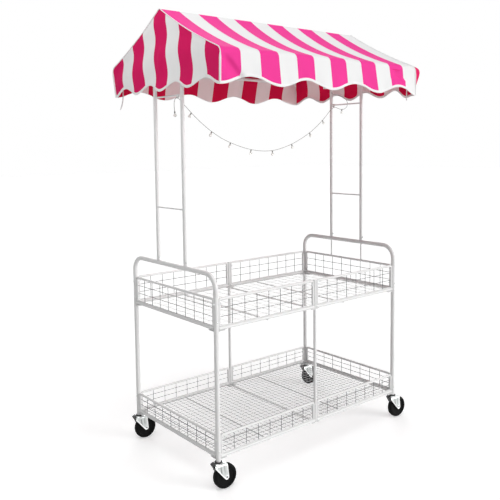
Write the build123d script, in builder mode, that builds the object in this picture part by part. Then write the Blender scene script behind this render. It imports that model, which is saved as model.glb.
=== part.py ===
from build123d import *
import os
from math import asin, atan2, cos, degrees, pi, radians, sin, tan

# Market vending cart. X runs along the cart, Y from front to back, Z up from the floor, in millimetres.
# The origin is on the floor, midway between the four legs.

# End frames: one bent tube each, two legs joined by the push handle
leg_spacing_x = 1070.0
leg_spacing_y = 600.0
leg_diameter = 20.0
leg_wall = 1.5
leg_bottom_z = 115.0
handle_z = 846.0
handle_bend = 60.0
brace_diameter = 8.0
seat_gap = 0.2

# Shelf floors: welded mats with edge rods, a wire net, and cross rods and foot plates under the edge rods
lower_floor_z = 132.5
upper_floor_z = 638.0
floor_rod_diameter = 15.0
floor_wire = 3.0
net_below_rod_top = 1.5
floor_gaps_x = 22
floor_gaps_y = 12
cross_rod_diameter = 6.0
cross_rod_places = (-270.0, 0.0, 185.0)
weld_depth = 0.5
foot_plate_length = 44.0
foot_plate_width = 25.5
foot_plate_thickness = 3.0

# Basket sides: bent rod frames, open at the foot, round a wire net with a foot wire
lower_rail_z = 214.0
upper_rail_z = 752.0
panel_rod_diameter = 11.0
panel_bend = 8.0
panel_wire = 2.6
panel_foot_wire = 4.0
panel_rows = 3
end_panel_columns = 9
side_panel_columns = 8
upright_diameter = 14.0
upright_wall = 1.2

# Corner brackets under the floors, and the screws and bolts of the baskets
bracket_arm = 40.0
bracket_thickness = 3.0
screw_from_leg = 30.0
screw_depth = 5.0
bolt_diameter = 4.0
bolt_clearance = 0.1
bolt_head_diameter = 8.0
bolt_head_height = 2.6
nut_across_flats = 7.0
nut_height = 3.2

# Canopy ladders
post_spacing = 200.0
post_diameter = 16.0
post_wall = 2.0
spigot_clearance = 0.1
spigot_length = 60.0
rung_diameter = 7.0
lower_rung_z = 1083.0
upper_rung_z = 1540.0
set_screw_height = 14.0
set_screw_diameter = 4.0
set_screw_knob_diameter = 9.0
set_screw_knob_length = 6.0

# Canopy frame and cover
canopy_length = 1140.0
canopy_width = 790.0
canopy_top_z = 1885.0
canopy_eave_z = 1686.0
canopy_hem_z = 1559.0
cloth_thickness = 2.0
cloth_gap = 0.3
shoulder_radius = 28.0
sag_angle = 5.0
canopy_bar_diameter = 16.0
canopy_bar_overhang = 13.0
rafter_diameter = 14.0
hem_waves = 4
hem_rise = 32.0
skirt_ripple = 10.0

# String of lights
cord_diameter = 2.2
socket_diameter = 6.0
socket_length = 8.0
bulb_diameter = 13.0
bulb_neck_diameter = 5.0
bulb_neck_length = 3.0
clip_drop = 10.0
clip_wall = 1.6
clip_eye = 5.4
clip_width = 9.0
battery_size = (23.0, 60.0, 90.0)
battery_bottom_z = 1625.0
gland_length = 8.0
gland_diameter = 6.0
switch_size = (3.0, 5.0, 8.0)
switch_travel = 5.0
switch_gap = 0.3

# Casters
wheel_diameter = 100.0
wheel_width = 24.0
hub_width = 26.4
hub_diameter = 24.0
wheel_recess = 4.0
tread_width_of_rim = 13.0
caster_trail = 28.0
caster_heading = -6.0
axle_diameter = 8.0
running_clearance = 0.05
fork_inside = 27.0
cheek_thickness = 2.5
cheek_foot_radius = 10.0
crown_z = 101.0
crown_thickness = 3.0
crown_front = 22.0
crown_back = 33.0
cheek_front = 21.0
race_diameter = 42.0
race_height = 5.7
collar_diameter = 30.0
collar_height = 5.0
stem_diameter = 10.0
stem_head_diameter = 15.0
stem_head_height = 3.0
plug_length = 28.0
face_gap = 0.3
pedal_pin_diameter = 5.0
pedal_boss_diameter = 8.0
pedal_hub_diameter = 10.0
pedal_pin_u = -18.0
pedal_pin_z = 93.5
pedal_width = 20.0
pedal_thickness = 3.0
pedal_foot = (-19.5, 88.5)
pedal_bend = (-31.0, 107.5)
pedal_tip = (-18.0, 113.5)
pedal_reach = 12.6
shoe_thickness = 6.0
pedal_swing = 25.0

os.makedirs("parts", exist_ok=True)


def save(part, name):
    """Labels a finished piece and writes it under its own name."""
    part.label = name
    export_step(part, f"parts/{name}.step")


def round_bar(start, end, diameter, mode=Mode.ADD):
    """Adds, or cuts, a straight round bar between two points in the piece being built."""
    run = Vector(*end) - Vector(*start)
    with Locations(Plane(origin=start, z_dir=run)):
        Cylinder(diameter / 2, run.length, align=(Align.CENTER, Align.CENTER, Align.MIN), mode=mode)


half_x = leg_spacing_x / 2
half_y = leg_spacing_y / 2
post_y = post_spacing / 2
sides = {"left": -1, "right": 1}
depths = {"front": -1, "back": 1}
bolt_hole = bolt_diameter + 2 * bolt_clearance
shelf_floors = {"lower": lower_floor_z, "upper": upper_floor_z}
shelf_rails = {"lower": lower_rail_z, "upper": upper_rail_z}

# Panels stand with their foot wires on the floor's edge rods, beside the legs and the centre uprights.
panel_base = floor_rod_diameter / 2 + seat_gap + panel_foot_wire / 2
panel_from_leg = leg_diameter / 2 + seat_gap + panel_rod_diameter / 2
panel_from_upright = upright_diameter / 2 + seat_gap + panel_rod_diameter / 2


def panel_rows_z(shelf):
    """Heights of the middles of a shelf's lowest and highest row of net."""
    low = shelf_floors[shelf] + panel_base
    row = (shelf_rails[shelf] - low) / panel_rows
    return low + row / 2, shelf_rails[shelf] - row / 2


# End frames with the spigots that carry the ladders, and on the right two braces to the basket rail
spigot_diameter = post_diameter - 2 * post_wall - 2 * spigot_clearance
spigot_foot_z = handle_z + (leg_diameter - leg_wall) / 2 - leg_wall
for side, sx in sides.items():
    x = sx * half_x
    with BuildPart() as end_frame:
        with BuildLine(Plane.YZ.offset(x)) as tube_path:
            FilletPolyline(
                (-half_y, leg_bottom_z),
                (-half_y, handle_z),
                (half_y, handle_z),
                (half_y, leg_bottom_z),
                radius=handle_bend,
            )
        with BuildSketch(Plane(origin=tube_path.line @ 0, z_dir=tube_path.line % 0)):
            Circle(leg_diameter / 2)
            Circle(leg_diameter / 2 - leg_wall, mode=Mode.SUBTRACT)
        sweep()
        for y in (-post_y, post_y):
            spigot_top_z = handle_z + leg_diameter / 2 + spigot_length
            round_bar((x, y, spigot_foot_z), (x, y, spigot_top_z), spigot_diameter)
            if side == "right":
                rail_top_z = upper_rail_z + panel_rod_diameter / 2 + seat_gap
                tube_inside_z = handle_z - leg_diameter / 2 + leg_wall
                round_bar((x, y, rail_top_z), (x, y, tube_inside_z), brace_diameter)
        for shelf in shelf_floors:
            low_row_z, high_row_z = panel_rows_z(shelf)
            for y in (-half_y, half_y):
                for end in ((leg_diameter, 0, high_row_z), (0, leg_diameter, low_row_z)):
                    reach = Vector(end[0], end[1], 0)
                    middle = Vector(x, y, end[2])
                    round_bar(middle - reach, middle + reach, bolt_hole, Mode.SUBTRACT)
    save(end_frame.part, f"{side}_end_frame")


# Shelf floors
rod_radius = floor_rod_diameter / 2
net_length = leg_spacing_x - panel_rod_diameter - 2 * seat_gap
net_width = leg_spacing_y - panel_rod_diameter - 2 * seat_gap
net_z = rod_radius - net_below_rod_top - floor_wire
cross_rod_z = weld_depth - rod_radius - cross_rod_diameter / 2
foot_plate_z = weld_depth - rod_radius - foot_plate_thickness
foot_plate_y = half_y + rod_radius - foot_plate_width / 2
for shelf, z in shelf_floors.items():
    with BuildPart() as shelf_floor:
        rod_end = leg_diameter / 2 + seat_gap
        for sx in (-1, 1):
            edge_end = half_y - rod_end
            round_bar((sx * half_x, -edge_end, z), (sx * half_x, edge_end, z), floor_rod_diameter)
            for sy in (-1, 1):
                inner = (sx * (upright_diameter / 2 + seat_gap), sy * half_y, z)
                outer = (sx * (half_x - rod_end), sy * half_y, z)
                round_bar(inner, outer, floor_rod_diameter)
        for x in cross_rod_places:
            rod_reach = half_y if x else foot_plate_y - cross_rod_diameter
            round_bar((x, -rod_reach, z + cross_rod_z), (x, rod_reach, z + cross_rod_z), cross_rod_diameter)
        with BuildSketch(Plane.XY.offset(z + foot_plate_z)):
            with GridLocations(0, 2 * foot_plate_y, 1, 2):
                Rectangle(foot_plate_length, foot_plate_width)
            with GridLocations(0, leg_spacing_y, 1, 2):
                Circle(upright_diameter / 2 + seat_gap, mode=Mode.SUBTRACT)
        extrude(amount=foot_plate_thickness)
        for sx in (-1, 1):
            for sy in (-1, 1):
                for dx, dy in ((screw_from_leg, 0), (0, screw_from_leg)):
                    foot = (sx * (half_x - dx), sy * (half_y - dy), z - rod_radius - seat_gap)
                    tip = (foot[0], foot[1], z - rod_radius + screw_depth + bolt_clearance)
                    round_bar(foot, tip, bolt_hole, Mode.SUBTRACT)
        with BuildSketch(Plane.XY.offset(z + net_z)):
            Rectangle(net_length, net_width)
            gap_x = net_length / floor_gaps_x
            gap_y = net_width / floor_gaps_y
            with GridLocations(gap_x, gap_y, floor_gaps_x, floor_gaps_y):
                Rectangle(gap_x - floor_wire, gap_y - floor_wire, mode=Mode.SUBTRACT)
            with GridLocations(leg_spacing_x, leg_spacing_y, 2, 2):
                Circle(leg_diameter / 2 + seat_gap, mode=Mode.SUBTRACT)
            with GridLocations(0, leg_spacing_y, 1, 2):
                Circle(upright_diameter / 2 + seat_gap, mode=Mode.SUBTRACT)
        extrude(amount=floor_wire)
    save(shelf_floor.part, f"{shelf}_shelf_floor")


def basket_panel(plane, length, height, columns, bolt_height):
    """One basket side on a plane whose x runs along it and y up it: a wire net, a bent rod frame, a foot wire."""
    with BuildPart() as panel:
        with BuildSketch(plane):
            RectangleRounded(length, height, panel_bend)
            with GridLocations(length / columns, height / panel_rows, columns, panel_rows):
                Rectangle(length / columns - panel_wire, height / panel_rows - panel_wire, mode=Mode.SUBTRACT)
        extrude(amount=panel_wire / 2, both=True)
        with BuildLine(plane) as rod_path:
            FilletPolyline(
                (length / 2, -height / 2),
                (length / 2, height / 2),
                (-length / 2, height / 2),
                (-length / 2, -height / 2),
                radius=panel_bend,
            )
        with BuildSketch(Plane(origin=rod_path.line @ 0, z_dir=rod_path.line % 0)):
            Circle(panel_rod_diameter / 2)
        sweep()
        foot_start = plane.from_local_coords((-length / 2, -height / 2, 0))
        foot_end = plane.from_local_coords((length / 2, -height / 2, 0))
        round_bar(foot_start, foot_end, panel_foot_wire)
        for end in (-length / 2, length / 2):
            start = plane.from_local_coords((end - panel_rod_diameter, bolt_height, 0))
            stop = plane.from_local_coords((end + panel_rod_diameter, bolt_height, 0))
            round_bar(start, stop, bolt_hole, Mode.SUBTRACT)
    return panel.part


# Basket sides: end panels between the legs, and front and back panels in two halves
for shelf, floor_z in shelf_floors.items():
    base_z = floor_z + panel_base
    height = shelf_rails[shelf] - base_z
    middle_z = base_z + height / 2
    low_row_z, high_row_z = panel_rows_z(shelf)
    for side, sx in sides.items():
        end_plane = Plane(origin=(sx * half_x, 0, middle_z), x_dir=(0, 1, 0), z_dir=(1, 0, 0))
        end_length = leg_spacing_y - 2 * panel_from_leg
        end_panel = basket_panel(end_plane, end_length, height, end_panel_columns, low_row_z - middle_z)
        save(end_panel, f"{shelf}_{side}_panel")
        for depth, sy in depths.items():
            half_length = half_x - panel_from_leg - panel_from_upright
            half_middle = sx * (panel_from_upright + half_length / 2)
            half_plane = Plane(origin=(half_middle, sy * half_y, middle_z), x_dir=(1, 0, 0), z_dir=(0, -1, 0))
            half_panel = basket_panel(
                half_plane, half_length, height, side_panel_columns, high_row_z - middle_z
            )
            save(half_panel, f"{shelf}_{depth}_{side}_panel")


# Centre uprights, tied to the inner end of each half panel
for depth, sy in depths.items():
    upright_foot_z = lower_floor_z - rod_radius
    upright_top_z = upper_rail_z + panel_rod_diameter / 2
    with BuildPart() as upright:
        with BuildSketch(Plane.XY.offset(upright_foot_z)):
            with Locations((0, sy * half_y)):
                Circle(upright_diameter / 2)
                Circle(upright_diameter / 2 - upright_wall, mode=Mode.SUBTRACT)
        extrude(amount=upright_top_z - upright_foot_z)
        with BuildSketch(Plane.XY.offset(upright_top_z - upright_wall)):
            with Locations((0, sy * half_y)):
                Circle(upright_diameter / 2)
        extrude(amount=upright_wall)
        for shelf in shelf_floors:
            bolt_z = panel_rows_z(shelf)[1]
            reach = upright_diameter
            round_bar((-reach, sy * half_y, bolt_z), (reach, sy * half_y, bolt_z), bolt_hole, Mode.SUBTRACT)
    save(upright.part, f"{depth}_center_upright")


# Corner brackets: three-cornered plates on the legs, under the ends of the floors' edge rods
bracket_drop = rod_radius + seat_gap + bracket_thickness
with BuildPart() as shelf_brackets:
    for z in shelf_floors.values():
        for sx in (-1, 1):
            for sy in (-1, 1):
                with BuildSketch(Plane.XY.offset(z - bracket_drop)):
                    with BuildLine():
                        Polyline(
                            (sx * (half_x + rod_radius), sy * (half_y + rod_radius)),
                            (sx * (half_x - bracket_arm), sy * (half_y + rod_radius)),
                            (sx * (half_x - bracket_arm), sy * (half_y - rod_radius)),
                            (sx * (half_x - rod_radius), sy * (half_y - bracket_arm)),
                            (sx * (half_x + rod_radius), sy * (half_y - bracket_arm)),
                            close=True,
                        )
                    make_face()
                    with Locations((sx * half_x, sy * half_y)):
                        Circle(leg_diameter / 2 + seat_gap, mode=Mode.SUBTRACT)
                    with Locations(
                        (sx * (half_x - screw_from_leg), sy * half_y),
                        (sx * half_x, sy * (half_y - screw_from_leg)),
                    ):
                        Circle(bolt_hole / 2, mode=Mode.SUBTRACT)
                extrude(amount=bracket_thickness)
save(shelf_brackets.part, "shelf_brackets")


def bolt(head_seat, direction, grip, nut):
    """Adds a round-headed bolt whose head rests at head_seat, with a nut past its grip if asked."""
    seat = Plane(origin=head_seat, z_dir=direction)
    with Locations(seat):
        Cylinder(bolt_head_diameter / 2, bolt_head_height, align=(Align.CENTER, Align.CENTER, Align.MAX))
        Cylinder(bolt_diameter / 2, grip, align=(Align.CENTER, Align.CENTER, Align.MIN))
    if nut:
        with Locations(seat.offset(grip - nut_height)):
            Cylinder(nut_across_flats / 2, nut_height, align=(Align.CENTER, Align.CENTER, Align.MIN))


# Screws under the brackets, and bolts through legs, uprights and panel frames
with BuildPart() as shelf_fasteners:
    for shelf, z in shelf_floors.items():
        low_row_z, high_row_z = panel_rows_z(shelf)
        leg_grip = leg_diameter + seat_gap + panel_rod_diameter + nut_height
        upright_grip = upright_diameter + 2 * seat_gap + 2 * panel_rod_diameter + nut_height
        for sy in (-1, 1):
            for sx in (-1, 1):
                for dx, dy in ((screw_from_leg, 0), (0, screw_from_leg)):
                    under = (sx * (half_x - dx), sy * (half_y - dy), z - bracket_drop)
                    bolt(under, (0, 0, 1), bracket_thickness + seat_gap + screw_depth, nut=False)
                outside_x = (sx * (half_x + leg_diameter / 2), sy * half_y, high_row_z)
                outside_y = (sx * half_x, sy * (half_y + leg_diameter / 2), low_row_z)
                bolt(outside_x, (-sx, 0, 0), leg_grip, nut=True)
                bolt(outside_y, (0, -sy, 0), leg_grip, nut=True)
            beside_upright = upright_diameter / 2 + seat_gap + panel_rod_diameter
            bolt((-beside_upright, sy * half_y, high_row_z), (1, 0, 0), upright_grip, nut=True)
save(shelf_fasteners.part, "shelf_fasteners")


# Canopy outline across the cart: a soft ridge, sagging slopes and round shoulders over the eave bars
ridge_radius = canopy_bar_diameter / 2 + cloth_gap + cloth_thickness
ridge_center = Vector(0, canopy_top_z - ridge_radius)
shoulder_pitch = atan2(canopy_top_z - canopy_eave_z, canopy_width / 2)
shoulder_tangent = shoulder_radius * tan((radians(90) - shoulder_pitch) / 2)
shoulder_center = Vector(-canopy_width / 2 + shoulder_radius, canopy_eave_z - shoulder_tangent)
center_run = shoulder_center - ridge_center
sag = radians(sag_angle)
pitch = atan2(-center_run.Y, -center_run.X) - asin((shoulder_radius - ridge_radius) * cos(sag) / center_run.length)
skirt_top_z = shoulder_center.Y


def slope_normal(angle):
    """Unit vector square to a front slope of this angle, pointing up and out."""
    return Vector(-sin(angle), cos(angle))


def canopy_points(inset):
    """Points of the front half of the outline, taken in by inset, from the skirt's top to the ridge."""
    skirt_top = shoulder_center + Vector(-(shoulder_radius - inset), 0)
    half_turn = (radians(90) + pitch - sag) / 2
    shoulder_middle = shoulder_center + slope_normal(half_turn) * (shoulder_radius - inset)
    slope_foot = shoulder_center + slope_normal(pitch - sag) * (shoulder_radius - inset)
    slope_head = ridge_center + slope_normal(pitch + sag) * (ridge_radius - inset)
    chord = slope_head - slope_foot
    dip = chord.length / 2 * tan(sag / 2)
    slope_middle = (slope_foot + slope_head) * 0.5 - slope_normal(pitch) * dip
    ridge = ridge_center + Vector(0, ridge_radius - inset)
    return skirt_top, shoulder_middle, slope_foot, slope_middle, slope_head, ridge


def flipped(point):
    """The same point on the back half of the outline."""
    return Vector(-point.X, point.Y)


def wave(run, waves, depth):
    """Arcs of a soft wave along x, as start, middle and end points: 0 high at both ends, depth at its crests."""
    quarter = run / waves / 4
    half = depth / 2
    radius = (quarter**2 + half**2) / depth
    half_turn = asin(quarter / radius) / 2
    lead = radius * sin(half_turn)
    lift = radius * (1 - cos(half_turn))
    arcs = [((-run / 2, 0), (-run / 2 + lead, lift), (-run / 2 + quarter, half))]
    for i in range(2 * waves - 1):
        left = -run / 2 + quarter * (2 * i + 1)
        crest = depth if i % 2 == 0 else 0
        arcs.append(((left, half), (left + quarter, crest), (left + 2 * quarter, half)))
    arcs.append(((run / 2 - quarter, half), (run / 2 - lead, lift), (run / 2, 0)))
    return arcs


def hanging_skirt(plane, run):
    """A skirt hanging from a plane whose x runs along it and y points out: ripples that grow towards a wavy hem."""
    drop = skirt_top_z - canopy_hem_z
    arcs = wave(run, hem_waves, skirt_ripple)
    knots = [-run / 2] + [end[0] for _, _, end in arcs]
    strip = [(x, 0, 0) for x in knots] + [(x, -cloth_thickness, 0) for x in reversed(knots)]
    top = Wire.make_polygon([plane.from_local_coords(corner) for corner in strip])
    with BuildPart() as skirt:
        with BuildLine(plane.offset(-drop)) as hem:
            for start, middle, end in arcs:
                ThreePointArc((start[0], -start[1]), (middle[0], -middle[1]), (end[0], -end[1]))
            Line((run / 2, 0), (run / 2, -cloth_thickness))
            for start, middle, end in reversed(arcs):
                ThreePointArc(
                    (end[0], -end[1] - cloth_thickness),
                    (middle[0], -middle[1] - cloth_thickness),
                    (start[0], -start[1] - cloth_thickness),
                )
            Line((-run / 2, -cloth_thickness), (-run / 2, 0))
        add(Solid.make_loft([top, hem.wire()], ruled=True))
        face_plane = Plane(origin=plane.from_local_coords((0, 0, -drop)), x_dir=plane.x_dir, z_dir=-plane.y_dir)
        with BuildSketch(face_plane):
            with BuildLine():
                for start, middle, end in wave(run, hem_waves, hem_rise):
                    ThreePointArc(start, middle, end)
                Polyline((run / 2, 0), (run / 2, -hem_rise), (-run / 2, -hem_rise), (-run / 2, 0))
            make_face()
        extrude(amount=2 * skirt_ripple + cloth_thickness, both=True, mode=Mode.SUBTRACT)
    return skirt.part


# Roof cloth: one sheet from the front hem over the ridge to the back hem
with BuildPart() as canopy_roof:
    with BuildSketch(Plane.YZ.offset(-canopy_length / 2)):
        for inset, mode in ((0, Mode.ADD), (cloth_thickness, Mode.SUBTRACT)):
            skirt_top, shoulder_middle, slope_foot, slope_middle, slope_head, ridge = canopy_points(inset)
            with BuildLine():
                ThreePointArc(skirt_top, shoulder_middle, slope_foot)
                ThreePointArc(slope_foot, slope_middle, slope_head)
                ThreePointArc(slope_head, ridge, flipped(slope_head))
                ThreePointArc(flipped(slope_head), flipped(slope_middle), flipped(slope_foot))
                ThreePointArc(flipped(slope_foot), flipped(shoulder_middle), flipped(skirt_top))
                Line(flipped(skirt_top), skirt_top)
            make_face(mode=mode)
    extrude(amount=canopy_length)
    for sy in (-1, 1):
        skirt_plane = Plane(origin=(0, sy * canopy_width / 2, skirt_top_z), x_dir=(sy, 0, 0), z_dir=(0, 0, 1))
        add(hanging_skirt(skirt_plane, canopy_length))
save(canopy_roof.part, "canopy_roof")

# Gable cloths, sewn inside the two ends of the roof cloth
gable_inset = cloth_thickness + cloth_gap
for side, sx in sides.items():
    gable_x = sx * (canopy_length / 2 - cloth_thickness)
    with BuildPart() as gable:
        with BuildSketch(Plane.YZ.offset(gable_x)):
            skirt_top, shoulder_middle, slope_foot, slope_middle, slope_head, ridge = canopy_points(gable_inset)
            with BuildLine():
                ThreePointArc(skirt_top, shoulder_middle, slope_foot)
                ThreePointArc(slope_foot, slope_middle, slope_head)
                ThreePointArc(slope_head, ridge, flipped(slope_head))
                ThreePointArc(flipped(slope_head), flipped(slope_middle), flipped(slope_foot))
                ThreePointArc(flipped(slope_foot), flipped(shoulder_middle), flipped(skirt_top))
                Line(flipped(skirt_top), skirt_top)
            make_face()
        extrude(amount=-sx * cloth_thickness)
        gable_plane = Plane(origin=(gable_x, 0, skirt_top_z), x_dir=(0, -sx, 0), z_dir=(0, 0, 1))
        add(hanging_skirt(gable_plane, canopy_width - 2 * gable_inset))
    save(gable.part, f"{side}_gable_cloth")


# Canopy frame: ridge and eave bars, and four rafters that stand on the ladders' posts
bar_half = half_x + canopy_bar_overhang
bar_radius = canopy_bar_diameter / 2
eave_angle = (radians(90) + pitch - sag) / 2
eave_offset = shoulder_radius - cloth_thickness - cloth_gap - bar_radius
eave_center = shoulder_center + slope_normal(eave_angle) * eave_offset
bars = {"ridge_bar": ridge_center, "front_eave_bar": eave_center, "back_eave_bar": flipped(eave_center)}
for name, center in bars.items():
    with BuildPart() as bar:
        round_bar((-bar_half, center.X, center.Y), (bar_half, center.X, center.Y), canopy_bar_diameter)
    save(bar.part, name)

_, _, slope_foot, slope_middle, slope_head, _ = canopy_points(cloth_thickness)
rafter_point = slope_middle - slope_normal(pitch) * (cloth_gap + rafter_diameter / 2)
slope_way = Vector(cos(pitch), sin(pitch))


def rafter_height(y):
    """Height of a front rafter's axis at this y."""
    return rafter_point.Y + (y - rafter_point.X) * tan(pitch)


rafter_low = Vector(eave_center.X, rafter_height(eave_center.X))
rafter_high = Vector(-seat_gap / 2, rafter_height(-seat_gap / 2))
post_top_z = rafter_height(-post_y - post_diameter / 2) - rafter_diameter / 2 / cos(pitch) - seat_gap
for side, sx in sides.items():
    for depth, sy in depths.items():
        x = sx * half_x
        with BuildPart() as rafter:
            past = slope_way * rafter_diameter
            low = rafter_low - past
            high = rafter_high + past
            round_bar((x, -sy * low.X, low.Y), (x, -sy * high.X, high.Y), rafter_diameter)
            for center in (ridge_center, eave_center):
                center_y = -sy * center.X
                cut = canopy_bar_diameter + 2 * seat_gap
                round_bar((-bar_half, center_y, center.Y), (bar_half, center_y, center.Y), cut, Mode.SUBTRACT)
            pin_foot = (x, sy * post_y, post_top_z - spigot_length)
            pin_head = (x, sy * post_y, rafter_height(-post_y))
            round_bar(pin_foot, pin_head, spigot_diameter)
            split(bisect_by=Plane(origin=(0, sy * seat_gap / 2, 0), z_dir=(0, sy, 0)), keep=Keep.TOP)
            split(bisect_by=Plane(origin=(0, -sy * eave_center.X, 0), z_dir=(0, -sy, 0)), keep=Keep.TOP)
        save(rafter.part, f"{side}_{depth}_rafter")


# Ladders: two posts and two rungs each, plugged on the handle's spigots and up into the rafters' pins
post_foot_z = handle_z + leg_diameter / 2 + seat_gap
for side, sx in sides.items():
    x = sx * half_x
    with BuildPart() as ladder:
        for y in (-post_y, post_y):
            round_bar((x, y, post_foot_z), (x, y, post_top_z), post_diameter)
        for z in (lower_rung_z, upper_rung_z):
            round_bar((x, -post_y, z), (x, post_y, z), rung_diameter)
        for y in (-post_y, post_y):
            bore = post_diameter - 2 * post_wall
            round_bar((x, y, post_foot_z), (x, y, post_top_z), bore, Mode.SUBTRACT)
            screw_z = post_foot_z + set_screw_height
            hole = set_screw_diameter + 2 * bolt_clearance
            round_bar((x, y, screw_z), (x, y - post_diameter, screw_z), hole, Mode.SUBTRACT)
    save(ladder.part, f"{side}_ladder")

# Set screws that pinch the posts on their spigots
with BuildPart() as post_screws:
    for x in (-half_x, half_x):
        for y in (-post_y, post_y):
            screw_z = post_foot_z + set_screw_height
            tip_y = y - spigot_diameter / 2 - seat_gap / 2
            seat_y = y - post_diameter / 2
            knob_y = seat_y - set_screw_knob_length
            round_bar((x, tip_y, screw_z), (x, knob_y, screw_z), set_screw_diameter)
            round_bar((x, seat_y, screw_z), (x, knob_y, screw_z), set_screw_knob_diameter)
save(post_screws.part, "post_screws")


# Light string: from the battery box down round the right rung, across in one swag, and a tail at the left
cord_points = [
    (515, 85, 1617),
    (515, 85, 1606),
    (516, 78, 1597),
    (519, 64, 1592),
    (523, 46, 1588),
    (529, 28, 1582),
    (536, 13, 1573),
    (543, 3, 1560),
    (548, 0, 1545),
    (550, 5, 1530),
    (550, 17, 1520),
    (549, 32, 1516),
    (549, 48, 1517),
    (550, 64, 1521),
    (547, 77, 1528),
    (535, 80, 1531),
    (512, 77, 1519),
    (484, 73, 1499),
    (451, 68, 1473),
    (415, 63, 1448),
    (380, 58, 1426),
    (344, 53, 1406),
    (302, 47, 1386),
    (255, 41, 1366),
    (208, 34, 1349),
    (162, 28, 1335),
    (112, 21, 1323),
    (63, 14, 1314),
    (15, 7, 1311),
    (-33, 0, 1311),
    (-80, -6, 1315),
    (-128, -13, 1322),
    (-173, -19, 1332),
    (-218, -26, 1344),
    (-260, -31, 1357),
    (-294, -36, 1370),
    (-327, -41, 1385),
    (-369, -47, 1407),
    (-406, -52, 1430),
    (-443, -57, 1456),
    (-485, -63, 1489),
    (-512, -67, 1512),
    (-535, -70, 1531),
    (-548, -71, 1528),
    (-554, -71, 1512),
    (-555, -72, 1494),
    (-553, -72, 1476),
]
bulb_runs = (11, 18, 21, 24, 27, 30, 33, 36, 39)
cord_route = [Vector(*point) for point in cord_points]
cord_radii = []
for before, corner, after in zip(cord_route, cord_route[1:], cord_route[2:]):
    run_in = corner - before
    run_out = after - corner
    half_turn = radians(run_in.get_angle(run_out)) / 2
    cord_radii.append(0.45 * min(run_in.length, run_out.length) / tan(half_turn))
with BuildPart() as light_cord:
    with BuildLine() as cord_path:
        FilletPolyline(*cord_route, radius=cord_radii)
    with BuildSketch(Plane(origin=cord_path.line @ 0, z_dir=cord_path.line % 0)):
        Circle(cord_diameter / 2)
    sweep()
save(light_cord.part, "light_cord")
cord_length = cord_path.wire().length
cord_volume = cord_length * pi * (cord_diameter / 2) ** 2
print("cord radii", [round(radius, 1) for radius in cord_radii])
print("cord length", round(cord_length, 1), "volume over section times length", light_cord.part.volume / cord_volume)


def bulb_planes():
    """Where each socket sits: under the middle of its run, square to the wire, and one on the wire's end."""
    touch = cord_diameter / 20
    planes = []
    for i in bulb_runs:
        run = cord_route[i + 1] - cord_route[i]
        along = run.normalized()
        square = (Vector(0, 0, -1) + along * along.Z).normalized()
        under = cord_route[i] + run * 0.5 + square * (cord_diameter / 2 + touch)
        planes.append(Plane(origin=under, z_dir=square))
    end_way = (cord_route[-1] - cord_route[-2]).normalized()
    planes.append(Plane(origin=cord_route[-1] + end_way * touch, z_dir=end_way))
    return planes


with BuildPart() as light_sockets:
    with Locations(*bulb_planes()):
        Cylinder(socket_diameter / 2, socket_length, align=(Align.CENTER, Align.CENTER, Align.MIN))
save(light_sockets.part, "light_sockets")

with BuildPart() as light_bulbs:
    for plane in bulb_planes():
        with Locations(plane.offset(socket_length)):
            Cylinder(bulb_neck_diameter / 2, bulb_neck_length, align=(Align.CENTER, Align.CENTER, Align.MIN))
        with Locations(plane.offset(socket_length + bulb_neck_length / 2 + bulb_diameter / 2)):
            Sphere(bulb_diameter / 2)
save(light_bulbs.part, "light_bulbs")

# Clips that hang the wire under the upper rungs
with BuildPart() as light_clips:
    for x, y in ((-half_x, cord_points[-5][1]), (half_x, cord_points[15][1])):
        rung = Plane(origin=(x, y - clip_width / 2, upper_rung_z), x_dir=(1, 0, 0), z_dir=(0, 1, 0))
        ring_radius = rung_diameter / 2 + seat_gap + clip_wall
        with BuildSketch(rung):
            Circle(ring_radius)
            with Locations((0, clip_drop)):
                Circle(ring_radius - clip_wall)
            make_hull()
            Circle(rung_diameter / 2 + seat_gap, mode=Mode.SUBTRACT)
        extrude(amount=clip_width)
        eye = Vector(x, y, upper_rung_z - clip_drop)
        reach = Vector(ring_radius, 0, 0)
        round_bar(eye - reach, eye + reach, clip_eye, Mode.SUBTRACT)
save(light_clips.part, "light_clips")

# Battery box, clipped on the back post of the right ladder, with its slide switch
box_x, box_y, box_z = battery_size
box_back = half_x - post_diameter / 2 - seat_gap
box_middle = (box_back - box_x / 2, post_y, battery_bottom_z + box_z / 2)
switch_middle = (box_back - box_x, post_y, battery_bottom_z + box_z * 0.7)
with BuildPart() as battery_box:
    with Locations(box_middle):
        Box(box_x, box_y, box_z)
    fillet(battery_box.edges(), radius=2.0)
    with Locations((half_x, post_y, battery_bottom_z + box_z / 2)):
        Cylinder(post_diameter / 2 + seat_gap + clip_wall, clip_width * 2)
        Cylinder(post_diameter / 2 + seat_gap, box_z, mode=Mode.SUBTRACT)
    slot = (2 * switch_size[0], switch_size[1] + 2 * switch_gap, switch_size[2] + switch_travel + 2 * switch_gap)
    with Locations(switch_middle):
        Box(*slot, mode=Mode.SUBTRACT)
    gland_top = (cord_points[0][0], cord_points[0][1], battery_bottom_z)
    with Locations(Plane(origin=gland_top, z_dir=(0, 0, -1))):
        Cone(
            gland_diameter / 2,
            cord_diameter / 2 + seat_gap,
            gland_length,
            align=(Align.CENTER, Align.CENTER, Align.MIN),
        )
save(battery_box.part, "battery_box")

with BuildPart() as light_switch:
    with Locations((switch_middle[0], switch_middle[1], switch_middle[2] - switch_travel / 2)):
        Box(2 * switch_size[0] - 2 * switch_gap, switch_size[1], switch_size[2])
save(light_switch.part, "light_switch")


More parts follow.
